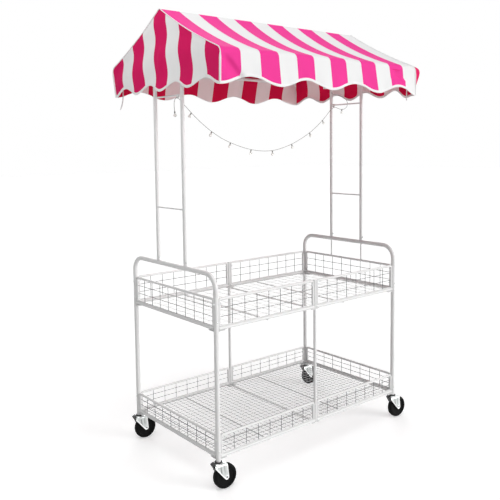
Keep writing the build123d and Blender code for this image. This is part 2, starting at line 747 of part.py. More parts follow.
# Casters: stem plugged in the leg, fork that swivels on it, wheel on its axle, and brake pedal
axle_z = wheel_diameter / 2
cheek_outside = fork_inside + 2 * cheek_thickness
heading = Vector(cos(radians(caster_heading)), sin(radians(caster_heading)), 0)
collar_bottom_z = leg_bottom_z - collar_height
for depth, sy in depths.items():
    for side, sx in sides.items():
        name = f"{depth}_{side}_caster"
        leg = Vector(sx * half_x, sy * half_y, 0)
        level = Plane(origin=leg, x_dir=heading, z_dir=(0, 0, 1))
        upright_plane = Plane(origin=leg, x_dir=heading, z_dir=heading.cross(Vector(0, 0, 1)))

        with BuildPart() as stem:
            stem_foot_z = crown_z - face_gap - stem_head_height
            plug_diameter = leg_diameter - 2 * leg_wall - seat_gap
            for bottom, top, diameter in (
                (stem_foot_z, stem_foot_z + stem_head_height, stem_head_diameter),
                (stem_foot_z, leg_bottom_z, stem_diameter),
                (collar_bottom_z, leg_bottom_z, collar_diameter),
                (leg_bottom_z, leg_bottom_z + plug_length, plug_diameter),
            ):
                round_bar(leg + Vector(0, 0, bottom), leg + Vector(0, 0, top), diameter)
        save(stem.part, f"{name}_stem")

        with BuildPart() as fork:
            with BuildSketch(level.offset(crown_z)):
                with Locations(((crown_back - crown_front) / 2, 0)):
                    Rectangle(crown_back + crown_front, cheek_outside)
            extrude(amount=crown_thickness)
            with BuildSketch(level.offset(crown_z)):
                Circle(race_diameter / 2)
            extrude(amount=crown_thickness + race_height)
            for inner_v in (-cheek_outside / 2, fork_inside / 2):
                with BuildSketch(upright_plane.offset(inner_v)):
                    with Locations((caster_trail, axle_z)):
                        Circle(cheek_foot_radius)
                    with Locations(((crown_back - cheek_front) / 2, crown_z)):
                        Rectangle(crown_back + cheek_front, 2 * crown_thickness, align=(Align.CENTER, Align.CENTER))
                    with Locations((pedal_pin_u, pedal_pin_z)):
                        Circle(pedal_boss_diameter / 2)
                    make_hull()
                extrude(amount=cheek_thickness)
            stem_axis = leg + Vector(0, 0, crown_z - crown_thickness)
            round_bar(
                stem_axis, leg + Vector(0, 0, leg_bottom_z), stem_diameter + 2 * running_clearance, Mode.SUBTRACT
            )
            across = upright_plane.z_dir * (cheek_outside / 2)
            axle_middle = upright_plane.from_local_coords((caster_trail, axle_z, 0))
            round_bar(
                axle_middle - across, axle_middle + across, axle_diameter + 2 * running_clearance, Mode.SUBTRACT
            )
            pin_middle = upright_plane.from_local_coords((pedal_pin_u, pedal_pin_z, 0))
            round_bar(pin_middle - across, pin_middle + across, pedal_pin_diameter)
        save(fork.part, f"{name}_fork")

        with BuildPart() as axle:
            axle_end = across + upright_plane.z_dir * nut_height
            round_bar(axle_middle - axle_end, axle_middle + axle_end, axle_diameter)
            for sign in (-1, 1):
                round_bar(
                    axle_middle + across * sign, axle_middle + axle_end * sign, axle_diameter + 2 * bolt_head_height
                )
        save(axle.part, f"{name}_axle")

        with BuildPart() as wheel:
            tyre_half = upright_plane.z_dir * (wheel_width / 2)
            hub_half = upright_plane.z_dir * (hub_width / 2)
            round_bar(axle_middle - tyre_half, axle_middle + tyre_half, wheel_diameter)
            rim = wheel.edges().filter_by(GeomType.CIRCLE)
            fillet(rim, radius=wheel_width / 5)
            for sign in (-1, 1):
                outside = axle_middle + tyre_half * sign
                floor_of_recess = outside - upright_plane.z_dir * (wheel_recess * sign)
                rim_inside = wheel_diameter - 2 * tread_width_of_rim
                round_bar(floor_of_recess, outside, rim_inside, Mode.SUBTRACT)
            round_bar(axle_middle - hub_half, axle_middle + hub_half, hub_diameter)
            bore = axle_diameter + 2 * running_clearance
            round_bar(axle_middle - hub_half, axle_middle + hub_half, bore, Mode.SUBTRACT)
        save(wheel.part, f"{name}_wheel")

        with BuildPart() as pedal:
            shoe_corner = atan2(shoe_thickness / 2, pedal_reach)
            to_axle = atan2(axle_z - pedal_pin_z, caster_trail - pedal_pin_u)
            brake_way = to_axle - radians(pedal_swing) - shoe_corner
            shoe = Vector(pedal_pin_u + pedal_reach * cos(brake_way), pedal_pin_z + pedal_reach * sin(brake_way))
            with BuildSketch(upright_plane.offset(-pedal_width / 2)):
                with BuildLine():
                    Polyline(pedal_foot, pedal_bend, pedal_tip)
                trace(line_width=pedal_thickness)
                with Locations(pedal_bend):
                    Circle(pedal_thickness / 2)
                with Locations((pedal_pin_u, pedal_pin_z)):
                    Circle(pedal_hub_diameter / 2)
                with Locations(((pedal_pin_u + shoe.X) / 2, (pedal_pin_z + shoe.Y) / 2)):
                    Rectangle(pedal_reach, shoe_thickness, rotation=degrees(brake_way))
                with Locations((pedal_pin_u, pedal_pin_z)):
                    Circle(pedal_pin_diameter / 2 + running_clearance, mode=Mode.SUBTRACT)
            extrude(amount=pedal_width)
        save(pedal.part, f"{name}_brake_pedal")
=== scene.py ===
import bmesh
import bpy
import numpy as np
from mathutils import Matrix


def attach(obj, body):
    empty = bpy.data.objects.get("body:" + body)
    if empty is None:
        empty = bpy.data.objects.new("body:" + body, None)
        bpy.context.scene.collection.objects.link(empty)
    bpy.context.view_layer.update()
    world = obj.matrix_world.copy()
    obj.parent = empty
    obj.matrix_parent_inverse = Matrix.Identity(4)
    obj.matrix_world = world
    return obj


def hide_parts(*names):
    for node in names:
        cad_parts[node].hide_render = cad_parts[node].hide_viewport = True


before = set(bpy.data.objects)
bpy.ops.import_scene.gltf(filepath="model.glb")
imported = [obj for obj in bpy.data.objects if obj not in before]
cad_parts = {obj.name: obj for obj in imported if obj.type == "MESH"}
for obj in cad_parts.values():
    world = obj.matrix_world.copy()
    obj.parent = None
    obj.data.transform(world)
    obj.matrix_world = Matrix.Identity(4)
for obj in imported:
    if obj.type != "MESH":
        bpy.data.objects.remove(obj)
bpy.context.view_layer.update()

# The camera stands left of the cart's front corner at chest height and looks a little down.
# Its place, tilt and lens come from the legs, rails, wheels and canopy edges in the picture.
picture_size = 500
focal_pixels = 660.9
middle_pixel = (235.7, 200.6)
camera_place = np.array([-2.0228, -2.2846, 1.3321])
camera_yaw, camera_pitch, camera_roll = 0.67598, -0.08125, 0.01343
ahead = np.array([
    np.sin(camera_yaw) * np.cos(camera_pitch),
    np.cos(camera_yaw) * np.cos(camera_pitch),
    np.sin(camera_pitch),
])
level_right = np.array([np.cos(camera_yaw), -np.sin(camera_yaw), 0.0])
level_down = np.cross(ahead, level_right)
picture_right = np.cos(camera_roll) * level_right + np.sin(camera_roll) * level_down
picture_down = np.cos(camera_roll) * level_down - np.sin(camera_roll) * level_right


def placed(name, data):
    """An object of this data in the scene."""
    made = bpy.data.objects.new(name, data)
    bpy.context.scene.collection.objects.link(made)
    return made


def stand(thing, place, right, up, back):
    """Puts a camera or lamp at a place, with its three axes along these directions."""
    turn = np.eye(4)
    turn[:3, :3] = np.stack([right, up, back], axis=1)
    turn[:3, 3] = place
    thing.matrix_world = Matrix(turn.tolist())


camera_data = bpy.data.cameras.new("photo_camera")
camera = placed("photo_camera", camera_data)
stand(camera, camera_place, picture_right, -picture_down, -ahead)
camera_data.sensor_width = 36.0
camera_data.lens = focal_pixels / picture_size * camera_data.sensor_width
camera_data.shift_x = (picture_size / 2 - middle_pixel[0]) / picture_size
camera_data.shift_y = (middle_pixel[1] - picture_size / 2) / picture_size
camera_data.clip_start = 0.05
camera_data.clip_end = 60.0
bpy.context.scene.camera = camera

# Light string: a thin two-core wire in a soft grey sleeve, hung from a clip on each ladder's upper rung.
# A lead goes up to the battery box at the right, and a short tail with the last lamp hangs at the left.
light_route = np.array([
    (515, 85, 1617), (515, 85, 1606), (516, 78, 1597), (519, 64, 1592), (523, 46, 1588), (529, 28, 1582),
    (536, 13, 1573), (543, 3, 1560), (548, 0, 1545), (550, 5, 1530), (550, 17, 1520), (549, 32, 1516),
    (549, 48, 1517), (550, 64, 1521), (547, 77, 1528), (535, 80, 1531), (512, 77, 1519), (484, 73, 1499),
    (451, 68, 1473), (415, 63, 1448), (380, 58, 1426), (344, 53, 1406), (302, 47, 1386), (255, 41, 1366),
    (208, 34, 1349), (162, 28, 1335), (112, 21, 1323), (63, 14, 1314), (15, 7, 1311), (-33, 0, 1311),
    (-80, -6, 1315), (-128, -13, 1322), (-173, -19, 1332), (-218, -26, 1344), (-260, -31, 1357),
    (-294, -36, 1370), (-327, -41, 1385), (-369, -47, 1407), (-406, -52, 1430), (-443, -57, 1456),
    (-485, -63, 1489), (-512, -67, 1512), (-535, -70, 1531), (-548, -71, 1528), (-554, -71, 1512),
    (-555, -72, 1494), (-553, -72, 1476),
]) / 1000
wire_radius = 0.0011
wire_curve = bpy.data.curves.new("light_wire", "CURVE")
wire_curve.dimensions = "3D"
wire_spline = wire_curve.splines.new("NURBS")
wire_spline.points.add(len(light_route) - 1)
wire_spline.points.foreach_set("co", np.column_stack([light_route, np.ones(len(light_route))]).ravel())
wire_spline.order_u = 3
wire_spline.use_endpoint_u = True
wire_curve.resolution_u = 8
light_wire = placed("light_wire", wire_curve)
bpy.context.view_layer.update()
bare_line = bpy.data.meshes.new_from_object(light_wire)
wire_line = np.empty(len(bare_line.vertices) * 3)
bare_line.vertices.foreach_get("co", wire_line)
wire_line = wire_line.reshape(-1, 3)
bpy.data.meshes.remove(bare_line)
wire_curve.bevel_depth = wire_radius
wire_curve.bevel_resolution = 3
wire_curve.use_fill_caps = True


def finish_node(owner, kind, inputs=None, **settings):
    """Adds a node to a material or world. Inputs map a socket to a value, or to an output to link."""
    made = owner.node_tree.nodes.new(kind)
    for name, value in settings.items():
        setattr(made, name, value)
    for key, value in (inputs or {}).items():
        if isinstance(value, bpy.types.NodeSocket):
            owner.node_tree.links.new(value, made.inputs[key])
        else:
            made.inputs[key].default_value = value
    return made


def new_finish(name, **sockets):
    """A material with its shader's own sockets set, and its Object coordinates ready for patterns."""
    material = bpy.data.materials.new(name)
    material.use_nodes = True
    shader = material.node_tree.nodes["Principled BSDF"]
    for key, value in sockets.items():
        shader.inputs[key.replace("_", " ")].default_value = value
    place = finish_node(material, "ShaderNodeTexCoord").outputs["Object"]
    return material, shader, place


def join_finish(owner, shader, **outputs):
    """Links pattern outputs to the shader's sockets of the same names."""
    for key, output in outputs.items():
        owner.node_tree.links.new(output, shader.inputs[key.replace("_", " ")])


def tinted(material, amount, low, high):
    """Colour between low and high, each a colour or an output, by an amount from 0 to 1."""
    first, second = (end if isinstance(end, bpy.types.NodeSocket) else (*end, 1) for end in (low, high))
    ends = {"Factor": amount, 6: first, 7: second}
    return finish_node(material, "ShaderNodeMix", ends, data_type="RGBA").outputs[2]


def ranged(owner, amount, low, high):
    """A number between low and high, by an amount from 0 to 1."""
    levels = {"Value": amount, "To Min": low, "To Max": high}
    return finish_node(owner, "ShaderNodeMapRange", levels).outputs[0]


def noise(material, place, waves, detail=3.0):
    """Soft noise with this many waves to a metre."""
    cloud = {"Vector": place, "Scale": waves, "Detail": detail}
    return finish_node(material, "ShaderNodeTexNoise", cloud).outputs["Fac"]


def bumped(material, height, strength, depth):
    """Surface normal of a height pattern of this depth in metres."""
    relief = {"Height": height, "Strength": strength, "Distance": depth}
    return finish_node(material, "ShaderNodeBump", relief).outputs["Normal"]


def mottled(name, waves, low, high, detail=3.0, rough=None, grain=None, **sockets):
    """A finish that drifts between two colours in soft noise of this many waves to a metre.

    Rough is a range of roughness on the same noise. Grain gives the waves, detail, strength and depth of
    a fine bump. The other values go to the shader's own sockets.
    """
    material, shader, place = new_finish(name, **sockets)
    drift = noise(material, place, waves, detail)
    patterns = {"Base_Color": tinted(material, drift, low, high)}
    if rough:
        patterns["Roughness"] = ranged(material, drift, *rough)
    if grain:
        patterns["Normal"] = bumped(material, noise(material, place, *grain[:2]), *grain[2:])
    join_finish(material, shader, **patterns)
    return material


wire_sleeve = mottled(
    "wire_sleeve", 300, (0.22, 0.23, 0.22), (0.32, 0.33, 0.31), grain=(300, 3.0, 0.3, 0.0003), Roughness=0.55
)
wire_curve.materials.append(wire_sleeve)
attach(light_wire, "cart")
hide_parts("light_cord")

# Lamps: each has a dark moulded socket square under the wire and a small frosted globe screwed in it.
# One hangs every 140 mm or so along the wire, and the last closes the end of the tail.
lamp_runs = np.array([11, 18, 21, 24, 27, 30, 33, 36, 39])
socket_profile = np.array([
    (0.0, -0.0006), (1.7, -0.0006), (2.2, 0.0), (2.4, 1.2), (2.4, 2.2), (3.0, 2.8), (3.0, 7.2), (2.7, 8.0),
    (0.0, 8.0),
]) / 1000
globe_radius, globe_drop = 0.0065, 0.0160
globe_angles = np.linspace(np.radians(23), np.pi, 16)
globe_profile = np.vstack([
    [(0.0, 0.0080), (0.0024, 0.0080), (0.0025, 0.0098)],
    np.column_stack([globe_radius * np.sin(globe_angles), globe_drop - globe_radius * np.cos(globe_angles)]),
])


def unit(vectors):
    """Vectors of length 1 in the same directions."""
    return vectors / np.linalg.norm(vectors, axis=-1, keepdims=True)


def turned(profile, origin, axis, sides=24, knurl=0.0, closed=False):
    """A profile of (radius, height) turned about an axis: origin + height * axis + radius * spoke.

    Spokes are cos a * e1 + sin a * e2, with e1 and e2 square to the axis. Knurl makes every second radius
    smaller by that share, and closed joins the profile's end to its start.
    """
    axis = unit(np.asarray(axis, float))
    helper = np.array([1.0, 0.0, 0.0]) if abs(axis[0]) < 0.7 else np.array([0.0, 1.0, 0.0])
    first = unit(np.cross(axis, helper))
    second = np.cross(axis, first)
    angles = np.arange(sides) * 2 * np.pi / sides
    spokes = np.cos(angles)[:, None] * first + np.sin(angles)[:, None] * second
    share = 1 - knurl * (np.arange(sides) % 2)
    radii = profile[:, 0][:, None] * share
    points = np.asarray(origin) + profile[:, 1][:, None, None] * axis + radii[:, :, None] * spokes
    return points.reshape(-1, 3), ring_faces(len(profile), sides, closed)


def ring_faces(rings, sides, closed):
    """Quads between rings of points, each ring closed, and the last ring joined to the first if closed."""
    index = np.arange(rings * sides).reshape(-1, sides)
    if closed:
        index = np.vstack([index, index[:1]])
    return grid_faces(np.hstack([index, index[:, :1]]))


def grid_faces(index):
    """Quads between the rows and columns of a grid of point numbers."""
    faces = np.stack([index[:-1, :-1], index[:-1, 1:], index[1:, 1:], index[1:, :-1]], axis=-1)
    return faces.reshape(-1, 4).tolist()


def together(shapes):
    """Several (points, faces) shapes as one."""
    points = np.vstack([shape[0] for shape in shapes])
    starts = np.cumsum([0] + [len(shape[0]) for shape in shapes])
    faces = [[i + start for i in face] for shape, start in zip(shapes, starts) for face in shape[1]]
    return points, faces


def make_piece(name, shape, finish, body, nodes=(), uv=None, sheet=False):
    """A named piece on a body. A solid one has its doubles merged and its faces turned outwards."""
    mesh = bpy.data.meshes.new(name)
    mesh.from_pydata(shape[0].tolist(), [], shape[1])
    if uv is not None:
        corners = np.empty(len(mesh.loops), dtype=np.int32)
        mesh.loops.foreach_get("vertex_index", corners)
        layer = mesh.uv_layers.new(name="cloth")
        layer.data.foreach_set("uv", uv[corners].ravel())
    if not sheet:
        work = bmesh.new()
        work.from_mesh(mesh)
        bmesh.ops.remove_doubles(work, verts=work.verts, dist=1e-6)
        bmesh.ops.dissolve_degenerate(work, edges=work.edges, dist=1e-6)
        bmesh.ops.recalc_face_normals(work, faces=work.faces)
        work.to_mesh(mesh)
        work.free()
    mesh.shade_smooth()
    mesh.set_sharp_from_angle(angle=np.radians(38))
    mesh.materials.append(finish)
    piece = placed(name, mesh)
    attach(piece, body)
    if nodes:
        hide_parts(*nodes)
    return piece


lamp_seats = []
for run in lamp_runs:
    middle = (light_route[run] + light_route[run + 1]) / 2
    nearest = int(np.argmin(np.linalg.norm(wire_line - middle, axis=1)))
    along = unit(wire_line[nearest + 1] - wire_line[nearest - 1])
    square = unit(np.array([0.0, 0.0, -1.0]) + along * along[2])
    lamp_seats.append((wire_line[nearest] + square * wire_radius, square))
lamp_seats.append((wire_line[-1], unit(wire_line[-1] - wire_line[-2])))
frosted_glass = mottled(
    "frosted_glass", 700, (0.74, 0.75, 0.73), (0.84, 0.84, 0.81), rough=(0.22, 0.4), IOR=1.45,
    Transmission_Weight=0.6, Emission_Strength=0.04, Emission_Color=(1.0, 0.97, 0.90, 1),
)
lamp_grey = mottled(
    "lamp_grey", 500, (0.20, 0.20, 0.19), (0.30, 0.30, 0.29), grain=(500, 3.0, 0.2, 0.0002), Roughness=0.45
)
lamp_sockets = make_piece(
    "lamp_sockets",
    together([turned(socket_profile, seat, way, sides=16) for seat, way in lamp_seats]),
    lamp_grey, "cart", ["light_sockets"],
)
lamp_globes = make_piece(
    "lamp_globes",
    together([turned(globe_profile, seat, way, sides=20) for seat, way in lamp_seats]),
    frosted_glass, "cart", ["light_bulbs"],
)

# End frames: one bent steel tube each, two legs and the push handle in a single run, white powder coat.
# The ladders plug on spigots welded to the handle, and the right frame has two thin braces to the basket.
powder_coat = mottled(
    "white_powder_coat", 14, (0.77, 0.77, 0.77), (0.83, 0.83, 0.825), detail=4.0, rough=(0.3, 0.46),
    grain=(650, 2.0, 0.12, 0.0002), Specular_IOR_Level=0.3,
)


def coat_node(name, finish):
    """Gives a CAD solid that is shown as it is one of the finishes."""
    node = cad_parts[name]
    node.data.materials.clear()
    node.data.materials.append(finish)


for tube_name in (
    "left_end_frame", "right_end_frame", "front_center_upright", "back_center_upright", "shelf_brackets",
):
    coat_node(tube_name, powder_coat)

# Shelf floors: welded wire mats in the same white coat. Thin wires cross each other and run into thick edge
# rods; cross rods, and plates that tie the rods round the centre uprights, are welded under them.
half_x, half_y = 0.535, 0.300
floor_heights = {"lower": 0.1325, "upper": 0.6380}
edge_rod_radius = 0.0075
floor_wire_radius = {"lower": 0.0010, "upper": 0.0009}
floor_wire_pitch = {"lower": 0.025, "upper": 0.049}
cross_rod_radius = 0.0030
cross_rod_places = (-0.270, 0.0, 0.185)
cross_rod_rise, low_wire_rise, high_wire_rise = -0.0100, 0.0033, 0.0049
plate_half, plate_inner, plate_bore, plate_outer = 0.0220, 0.2820, 0.0073, 0.3075
plate_foot, plate_top = -0.0100, -0.0070
middle_rod_end = 0.2888
rod_from_leg = 0.0102
rod_from_upright = 0.0072
upright_room, wire_from_upright = 0.010, 0.008


def circle_section(radius, sides):
    """A round section as (across, up) pairs."""
    angles = np.arange(sides) * 2 * np.pi / sides
    return radius * np.column_stack([np.cos(angles), np.sin(angles)])


def carried(path, across, up, section, swell=1.0):
    """A section carried along a path: path + swell * (a * across + b * up) for every (a, b) in it."""
    path = np.asarray(path, float)
    across = np.broadcast_to(across, path.shape)
    up = np.broadcast_to(up, path.shape)
    grow = np.broadcast_to(swell, len(path))[:, None, None]
    a = section[None, :, 0, None] * grow
    b = section[None, :, 1, None] * grow
    points = path[:, None, :] + a * across[:, None, :] + b * up[:, None, :]
    sides = len(section)
    first, last = np.arange(sides), np.arange(sides) + (len(path) - 1) * sides
    faces = ring_faces(len(path), sides, False) + [first[::-1].tolist(), last.tolist()]
    return points.reshape(-1, 3), faces


def straight_rod(start, end, radius, sides=10):
    """A round rod between two points."""
    start, end = np.asarray(start, float), np.asarray(end, float)
    way = unit(end - start)
    helper = np.array([0.0, 0.0, 1.0]) if abs(way[2]) < 0.9 else np.array([1.0, 0.0, 0.0])
    across = unit(np.cross(way, helper))
    return carried([start, end], across, np.cross(way, across), circle_section(radius, sides))


def block(low, high):
    """A box between two corners."""
    pair = np.sort(np.array([low, high], float), axis=0)
    corners = np.array(np.meshgrid(*pair.T, indexing="ij")).reshape(3, -1).T
    return corners, [[0, 1, 3, 2], [4, 6, 7, 5], [0, 4, 5, 1], [2, 3, 7, 6], [0, 2, 6, 4], [1, 5, 7, 3]]


# The lower mat's thin wires get a greyer copy of the white coat. That grey is painted shade for the light the
# upper shelf keeps off them. The upper mat's wires keep the white coat.
painted_shade_net_coat = mottled(
    "painted_shade_net_coat", 40, (0.38, 0.38, 0.385), (0.46, 0.46, 0.465), rough=(0.35, 0.5), Specular_IOR_Level=0.3
)
net_coats_shaded_below = {"lower": painted_shade_net_coat, "upper": powder_coat}
for shelf, z in floor_heights.items():
    rods = []
    wires = []
    edge_end = half_y - rod_from_leg
    for sx in (-1, 1):
        near, far = (sx * half_x, -edge_end, z), (sx * half_x, edge_end, z)
        rods.append(straight_rod(near, far, edge_rod_radius, 24))
        for sy in (-1, 1):
            inner = (sx * rod_from_upright, sy * half_y, z)
            outer = (sx * (half_x - rod_from_leg), sy * half_y, z)
            rods.append(straight_rod(inner, outer, edge_rod_radius, 24))
    cross_z = z + cross_rod_rise
    for x in cross_rod_places:
        reach = half_y if x else middle_rod_end
        rods.append(straight_rod((x, -reach, cross_z), (x, reach, cross_z), cross_rod_radius, 16))
    for sy in (-1, 1):
        strip_edge = sy * (half_y - plate_bore)
        low, high = z + plate_foot, z + plate_top
        rods.append(block((-plate_half, sy * plate_inner, low), (plate_half, strip_edge, high)))
        for sx in (-1, 1):
            rods.append(block((sx * plate_bore, strip_edge, low), (sx * plate_half, sy * plate_outer, high)))
    across_count = int(round(2 * half_x / floor_wire_pitch[shelf]))
    along_count = int(round(2 * half_y / floor_wire_pitch[shelf]))
    low_z, high_z = z + low_wire_rise, z + high_wire_rise
    for x in np.linspace(-half_x, half_x, across_count + 1)[1:-1]:
        reach = half_y - (wire_from_upright if abs(x) < upright_room else 0.0)
        wires.append(straight_rod((x, -reach, low_z), (x, reach, low_z), floor_wire_radius[shelf], 8))
    for y in np.linspace(-half_y, half_y, along_count + 1)[1:-1]:
        wires.append(straight_rod((-half_x, y, high_z), (half_x, y, high_z), floor_wire_radius[shelf], 8))
    make_piece(
        f"{shelf}_floor_rods", together(rods), powder_coat, "cart",
        [f"{shelf}_shelf_floor"],
    )
    make_piece(f"{shelf}_floor_net", together(wires), net_coats_shaded_below[shelf], "cart")

# Basket sides: a round rod bent over three sides, a thin foot wire, and upright and level wires welded on.
# End panels sit between the legs; front and back panels come in halves, each side of a centre upright.
cart_ends, cart_faces = {"left": -1, "right": 1}, {"front": -1, "back": 1}
rail_heights = {"lower": 0.2140, "upper": 0.7520}
panel_rod_radius = 0.0055
panel_wire_radius = 0.0013
panel_bend = 0.0080
panel_base = 0.0097
panel_foot_radius = 0.0020
panel_from_leg = 0.0157
panel_from_upright = 0.0127
panel_rows, end_columns, side_columns = 3, 9, 8
wire_weld = 0.8
# The panels' wires are white-coated like the rods. They are drawn in a dark grey copy of the coat, which is
# painted shade.
shaded_wire_coat = mottled(
    "painted_shade_wire_coat", 40, (0.22, 0.22, 0.225), (0.28, 0.28, 0.285), rough=(0.35, 0.5), Specular_IOR_Level=0.3
)


def bent_frame(half_length, half_height, bend, steps=7):
    """Line of a rod bent over three sides, and its outward normals.

    From one foot up, round corner + bend * (cos a, sin a) twice, and down to the other foot.
    """
    angles = np.linspace(0, np.pi / 2, steps)[None, :] + np.arange(2)[:, None] * np.pi / 2
    out = np.stack([np.cos(angles), np.sin(angles)], axis=-1)
    corners = np.array([(1, 1), (-1, 1)]) * (half_length - bend, half_height - bend)
    turns = (corners[:, None, :] + bend * out).reshape(-1, 2)
    line = np.vstack([(half_length, -half_height), turns, (-half_length, -half_height)])
    return line, np.vstack([(1.0, 0.0), out.reshape(-1, 2), (-1.0, 0.0)])


def basket_panel(middle, along, length, height, columns):
    """Bent rod frame with wires: uprights at even columns just outside the level wires' plane."""
    rise = np.array([0.0, 0.0, 1.0])
    out = np.cross(along, rise)
    line, normal = bent_frame(length / 2, height / 2, panel_bend)
    path = middle + line[:, :1] * along + line[:, 1:] * rise
    up = normal[:, :1] * along + normal[:, 1:] * rise
    half_run, half_rise = length / 2 * along, height / 2 * rise
    foot_from = middle - half_run - half_rise
    foot_wire = straight_rod(foot_from, foot_from + length * along, panel_foot_radius)
    bent_rod = together([carried(path, out, up, circle_section(panel_rod_radius, 16)), foot_wire])
    wires = []
    for x in np.linspace(-length / 2, length / 2, columns + 1)[1:-1]:
        upright = middle + x * along + panel_wire_radius * out
        wires.append(straight_rod(upright - half_rise, upright + half_rise, panel_wire_radius, 8))
    for h in np.linspace(-height / 2, height / 2, panel_rows + 1)[1:-1]:
        level = middle + h * rise - panel_wire_radius * wire_weld * out
        wires.append(straight_rod(level - half_run, level + half_run, panel_wire_radius, 8))
    return bent_rod, together(wires)


def hang_panel(name, rod_and_wires, node):
    """A panel's rod frame, which takes the solid's place, and its wires."""
    bent_rod, wires = rod_and_wires
    make_piece(f"{name}_rod", bent_rod, powder_coat, "cart", [node])
    make_piece(f"{name}_wires", wires, shaded_wire_coat, "cart")


end_length = 2 * (half_y - panel_from_leg)
side_length = half_x - panel_from_leg - panel_from_upright
for shelf, floor_z in floor_heights.items():
    base = floor_z + panel_base
    height = rail_heights[shelf] - base
    middle_z = base + height / 2
    for side, sx in cart_ends.items():
        middle = np.array([sx * half_x, 0, middle_z])
        end_panel = basket_panel(middle, np.array([0.0, sx, 0.0]), end_length, height, end_columns)
        hang_panel(f"{shelf}_{side}_basket", end_panel, f"{shelf}_{side}_panel")
        for depth, sy in cart_faces.items():
            middle = np.array([sx * (panel_from_upright + side_length / 2), sy * half_y, middle_z])
            half_panel = basket_panel(middle, np.array([-sy, 0.0, 0.0]), side_length, height, side_columns)
            hang_panel(f"{shelf}_{depth}_{side}_basket", half_panel, f"{shelf}_{depth}_{side}_panel")

# Screws and bolts of the baskets: zinc-plated, with domed socket heads and hexagon nuts. Two screws per
# corner go up through a bracket into the floor's edge rods, and bolts hold the panels to legs and uprights.
zinc = mottled(
    "bright_zinc", 130, (0.60, 0.62, 0.62), (0.80, 0.82, 0.81), detail=4.0, rough=(0.18, 0.38),
    grain=(1500, 2.0, 0.1, 0.0001), Metallic=1.0,
)
head_profile = np.array([
    (0.0, -1.2), (1.25, -1.2), (1.25, -2.6), (1.6, -2.6), (2.9, -2.2), (3.7, -1.3), (4.0, -0.3), (3.9, 0.0),
    (2.0, 0.0),
]) / 1000
nut_profile = np.array([(2.0, 0.0), (3.7, 0.0), (4.04, 0.4), (4.04, 2.8), (3.7, 3.2), (2.0, 3.2)]) / 1000
shank_radius, shank_tip, nut_height = 0.0020, 0.0004, 0.0032
bracket_under, screw_from_leg, screw_grip = 0.0107, 0.030, 0.0082
leg_radius, leg_grip = 0.010, 0.0344
upright_seat, upright_grip = 0.0182, 0.0396


def shelf_bolt(seat, way, grip, nut):
    """A domed head at the seat, its shank to the grip's end, and a hexagon nut there if asked."""
    way = np.asarray(way, float)
    shank = np.array([(shank_radius, grip - shank_tip), (shank_radius - shank_tip, grip), (0.0, grip)])
    shapes = [turned(np.vstack([head_profile, shank]), seat, way, sides=20)]
    if nut:
        shapes.append(turned(nut_profile, seat + way * (grip - nut_height), way, sides=6, closed=True))
    return together(shapes)


fasteners = []
for shelf, floor_z in floor_heights.items():
    row = (rail_heights[shelf] - floor_z - panel_base) / panel_rows
    high_row, low_row = rail_heights[shelf] - row / 2, floor_z + panel_base + row / 2
    for sy in (-1, 1):
        for sx in (-1, 1):
            for dx, dy in ((screw_from_leg, 0), (0, screw_from_leg)):
                under = np.array([sx * (half_x - dx), sy * (half_y - dy), floor_z - bracket_under])
                fasteners.append(shelf_bolt(under, (0, 0, 1), screw_grip, False))
            by_end = np.array([sx * (half_x + leg_radius), sy * half_y, high_row])
            by_side = np.array([sx * half_x, sy * (half_y + leg_radius), low_row])
            fasteners.append(shelf_bolt(by_end, (-sx, 0, 0), leg_grip, True))
            fasteners.append(shelf_bolt(by_side, (0, -sy, 0), leg_grip, True))
        by_upright = np.array([-upright_seat, sy * half_y, high_row])
        fasteners.append(shelf_bolt(by_upright, (1, 0, 0), upright_grip, True))
make_piece("basket_bolts", together(fasteners), zinc, "cart", ["shelf_fasteners"])

# Ladders and canopy frame: white-coated tube posts with two rungs, plugged on the handles' spigots and
# pinched by knurled set screws, and the ridge bar, eave bars and rafters that the cover is pulled over.
for tube_name in (
    "left_ladder", "right_ladder", "ridge_bar", "front_eave_bar", "back_eave_bar",
    "left_front_rafter", "left_back_rafter", "right_front_rafter", "right_back_rafter",
):
    coat_node(tube_name, powder_coat)
post_y = 0.100
post_radius = 0.0080
set_screw_z = 0.8702
knob_profile = np.array([
    (0.0, -6.0), (3.9, -6.0), (4.5, -5.4), (4.5, -0.8), (4.0, 0.0), (2.0, 0.0), (2.0, 1.8), (0.0, 1.8),
]) / 1000
set_screws = [
    turned(knob_profile, (x, y - post_radius, set_screw_z), (0, 1, 0), sides=36, knurl=0.05)
    for x in (-half_x, half_x)
    for y in (-post_y, post_y)
]
make_piece("ladder_set_screws", together(set_screws), zinc, "cart", ["post_screws"])

# Battery box: a pale moulded case strapped to the inside of the back right post, with a black slide switch.
# Its case has plain rounded edges, and the clips that hold the wire on the rungs are of the same plastic.
pale_case = mottled(
    "pale_case", 25, (0.74, 0.74, 0.73), (0.80, 0.80, 0.79), grain=(1100, 3.0, 0.2, 0.0002), Roughness=0.5
)
black_moulding = mottled(
    "black_moulding", 60, (0.012, 0.012, 0.013), (0.035, 0.035, 0.036), rough=(0.38, 0.6),
    grain=(900, 3.0, 0.25, 0.0002),
)
coat_node("battery_box", pale_case)
coat_node("light_clips", pale_case)
coat_node("light_switch", black_moulding)

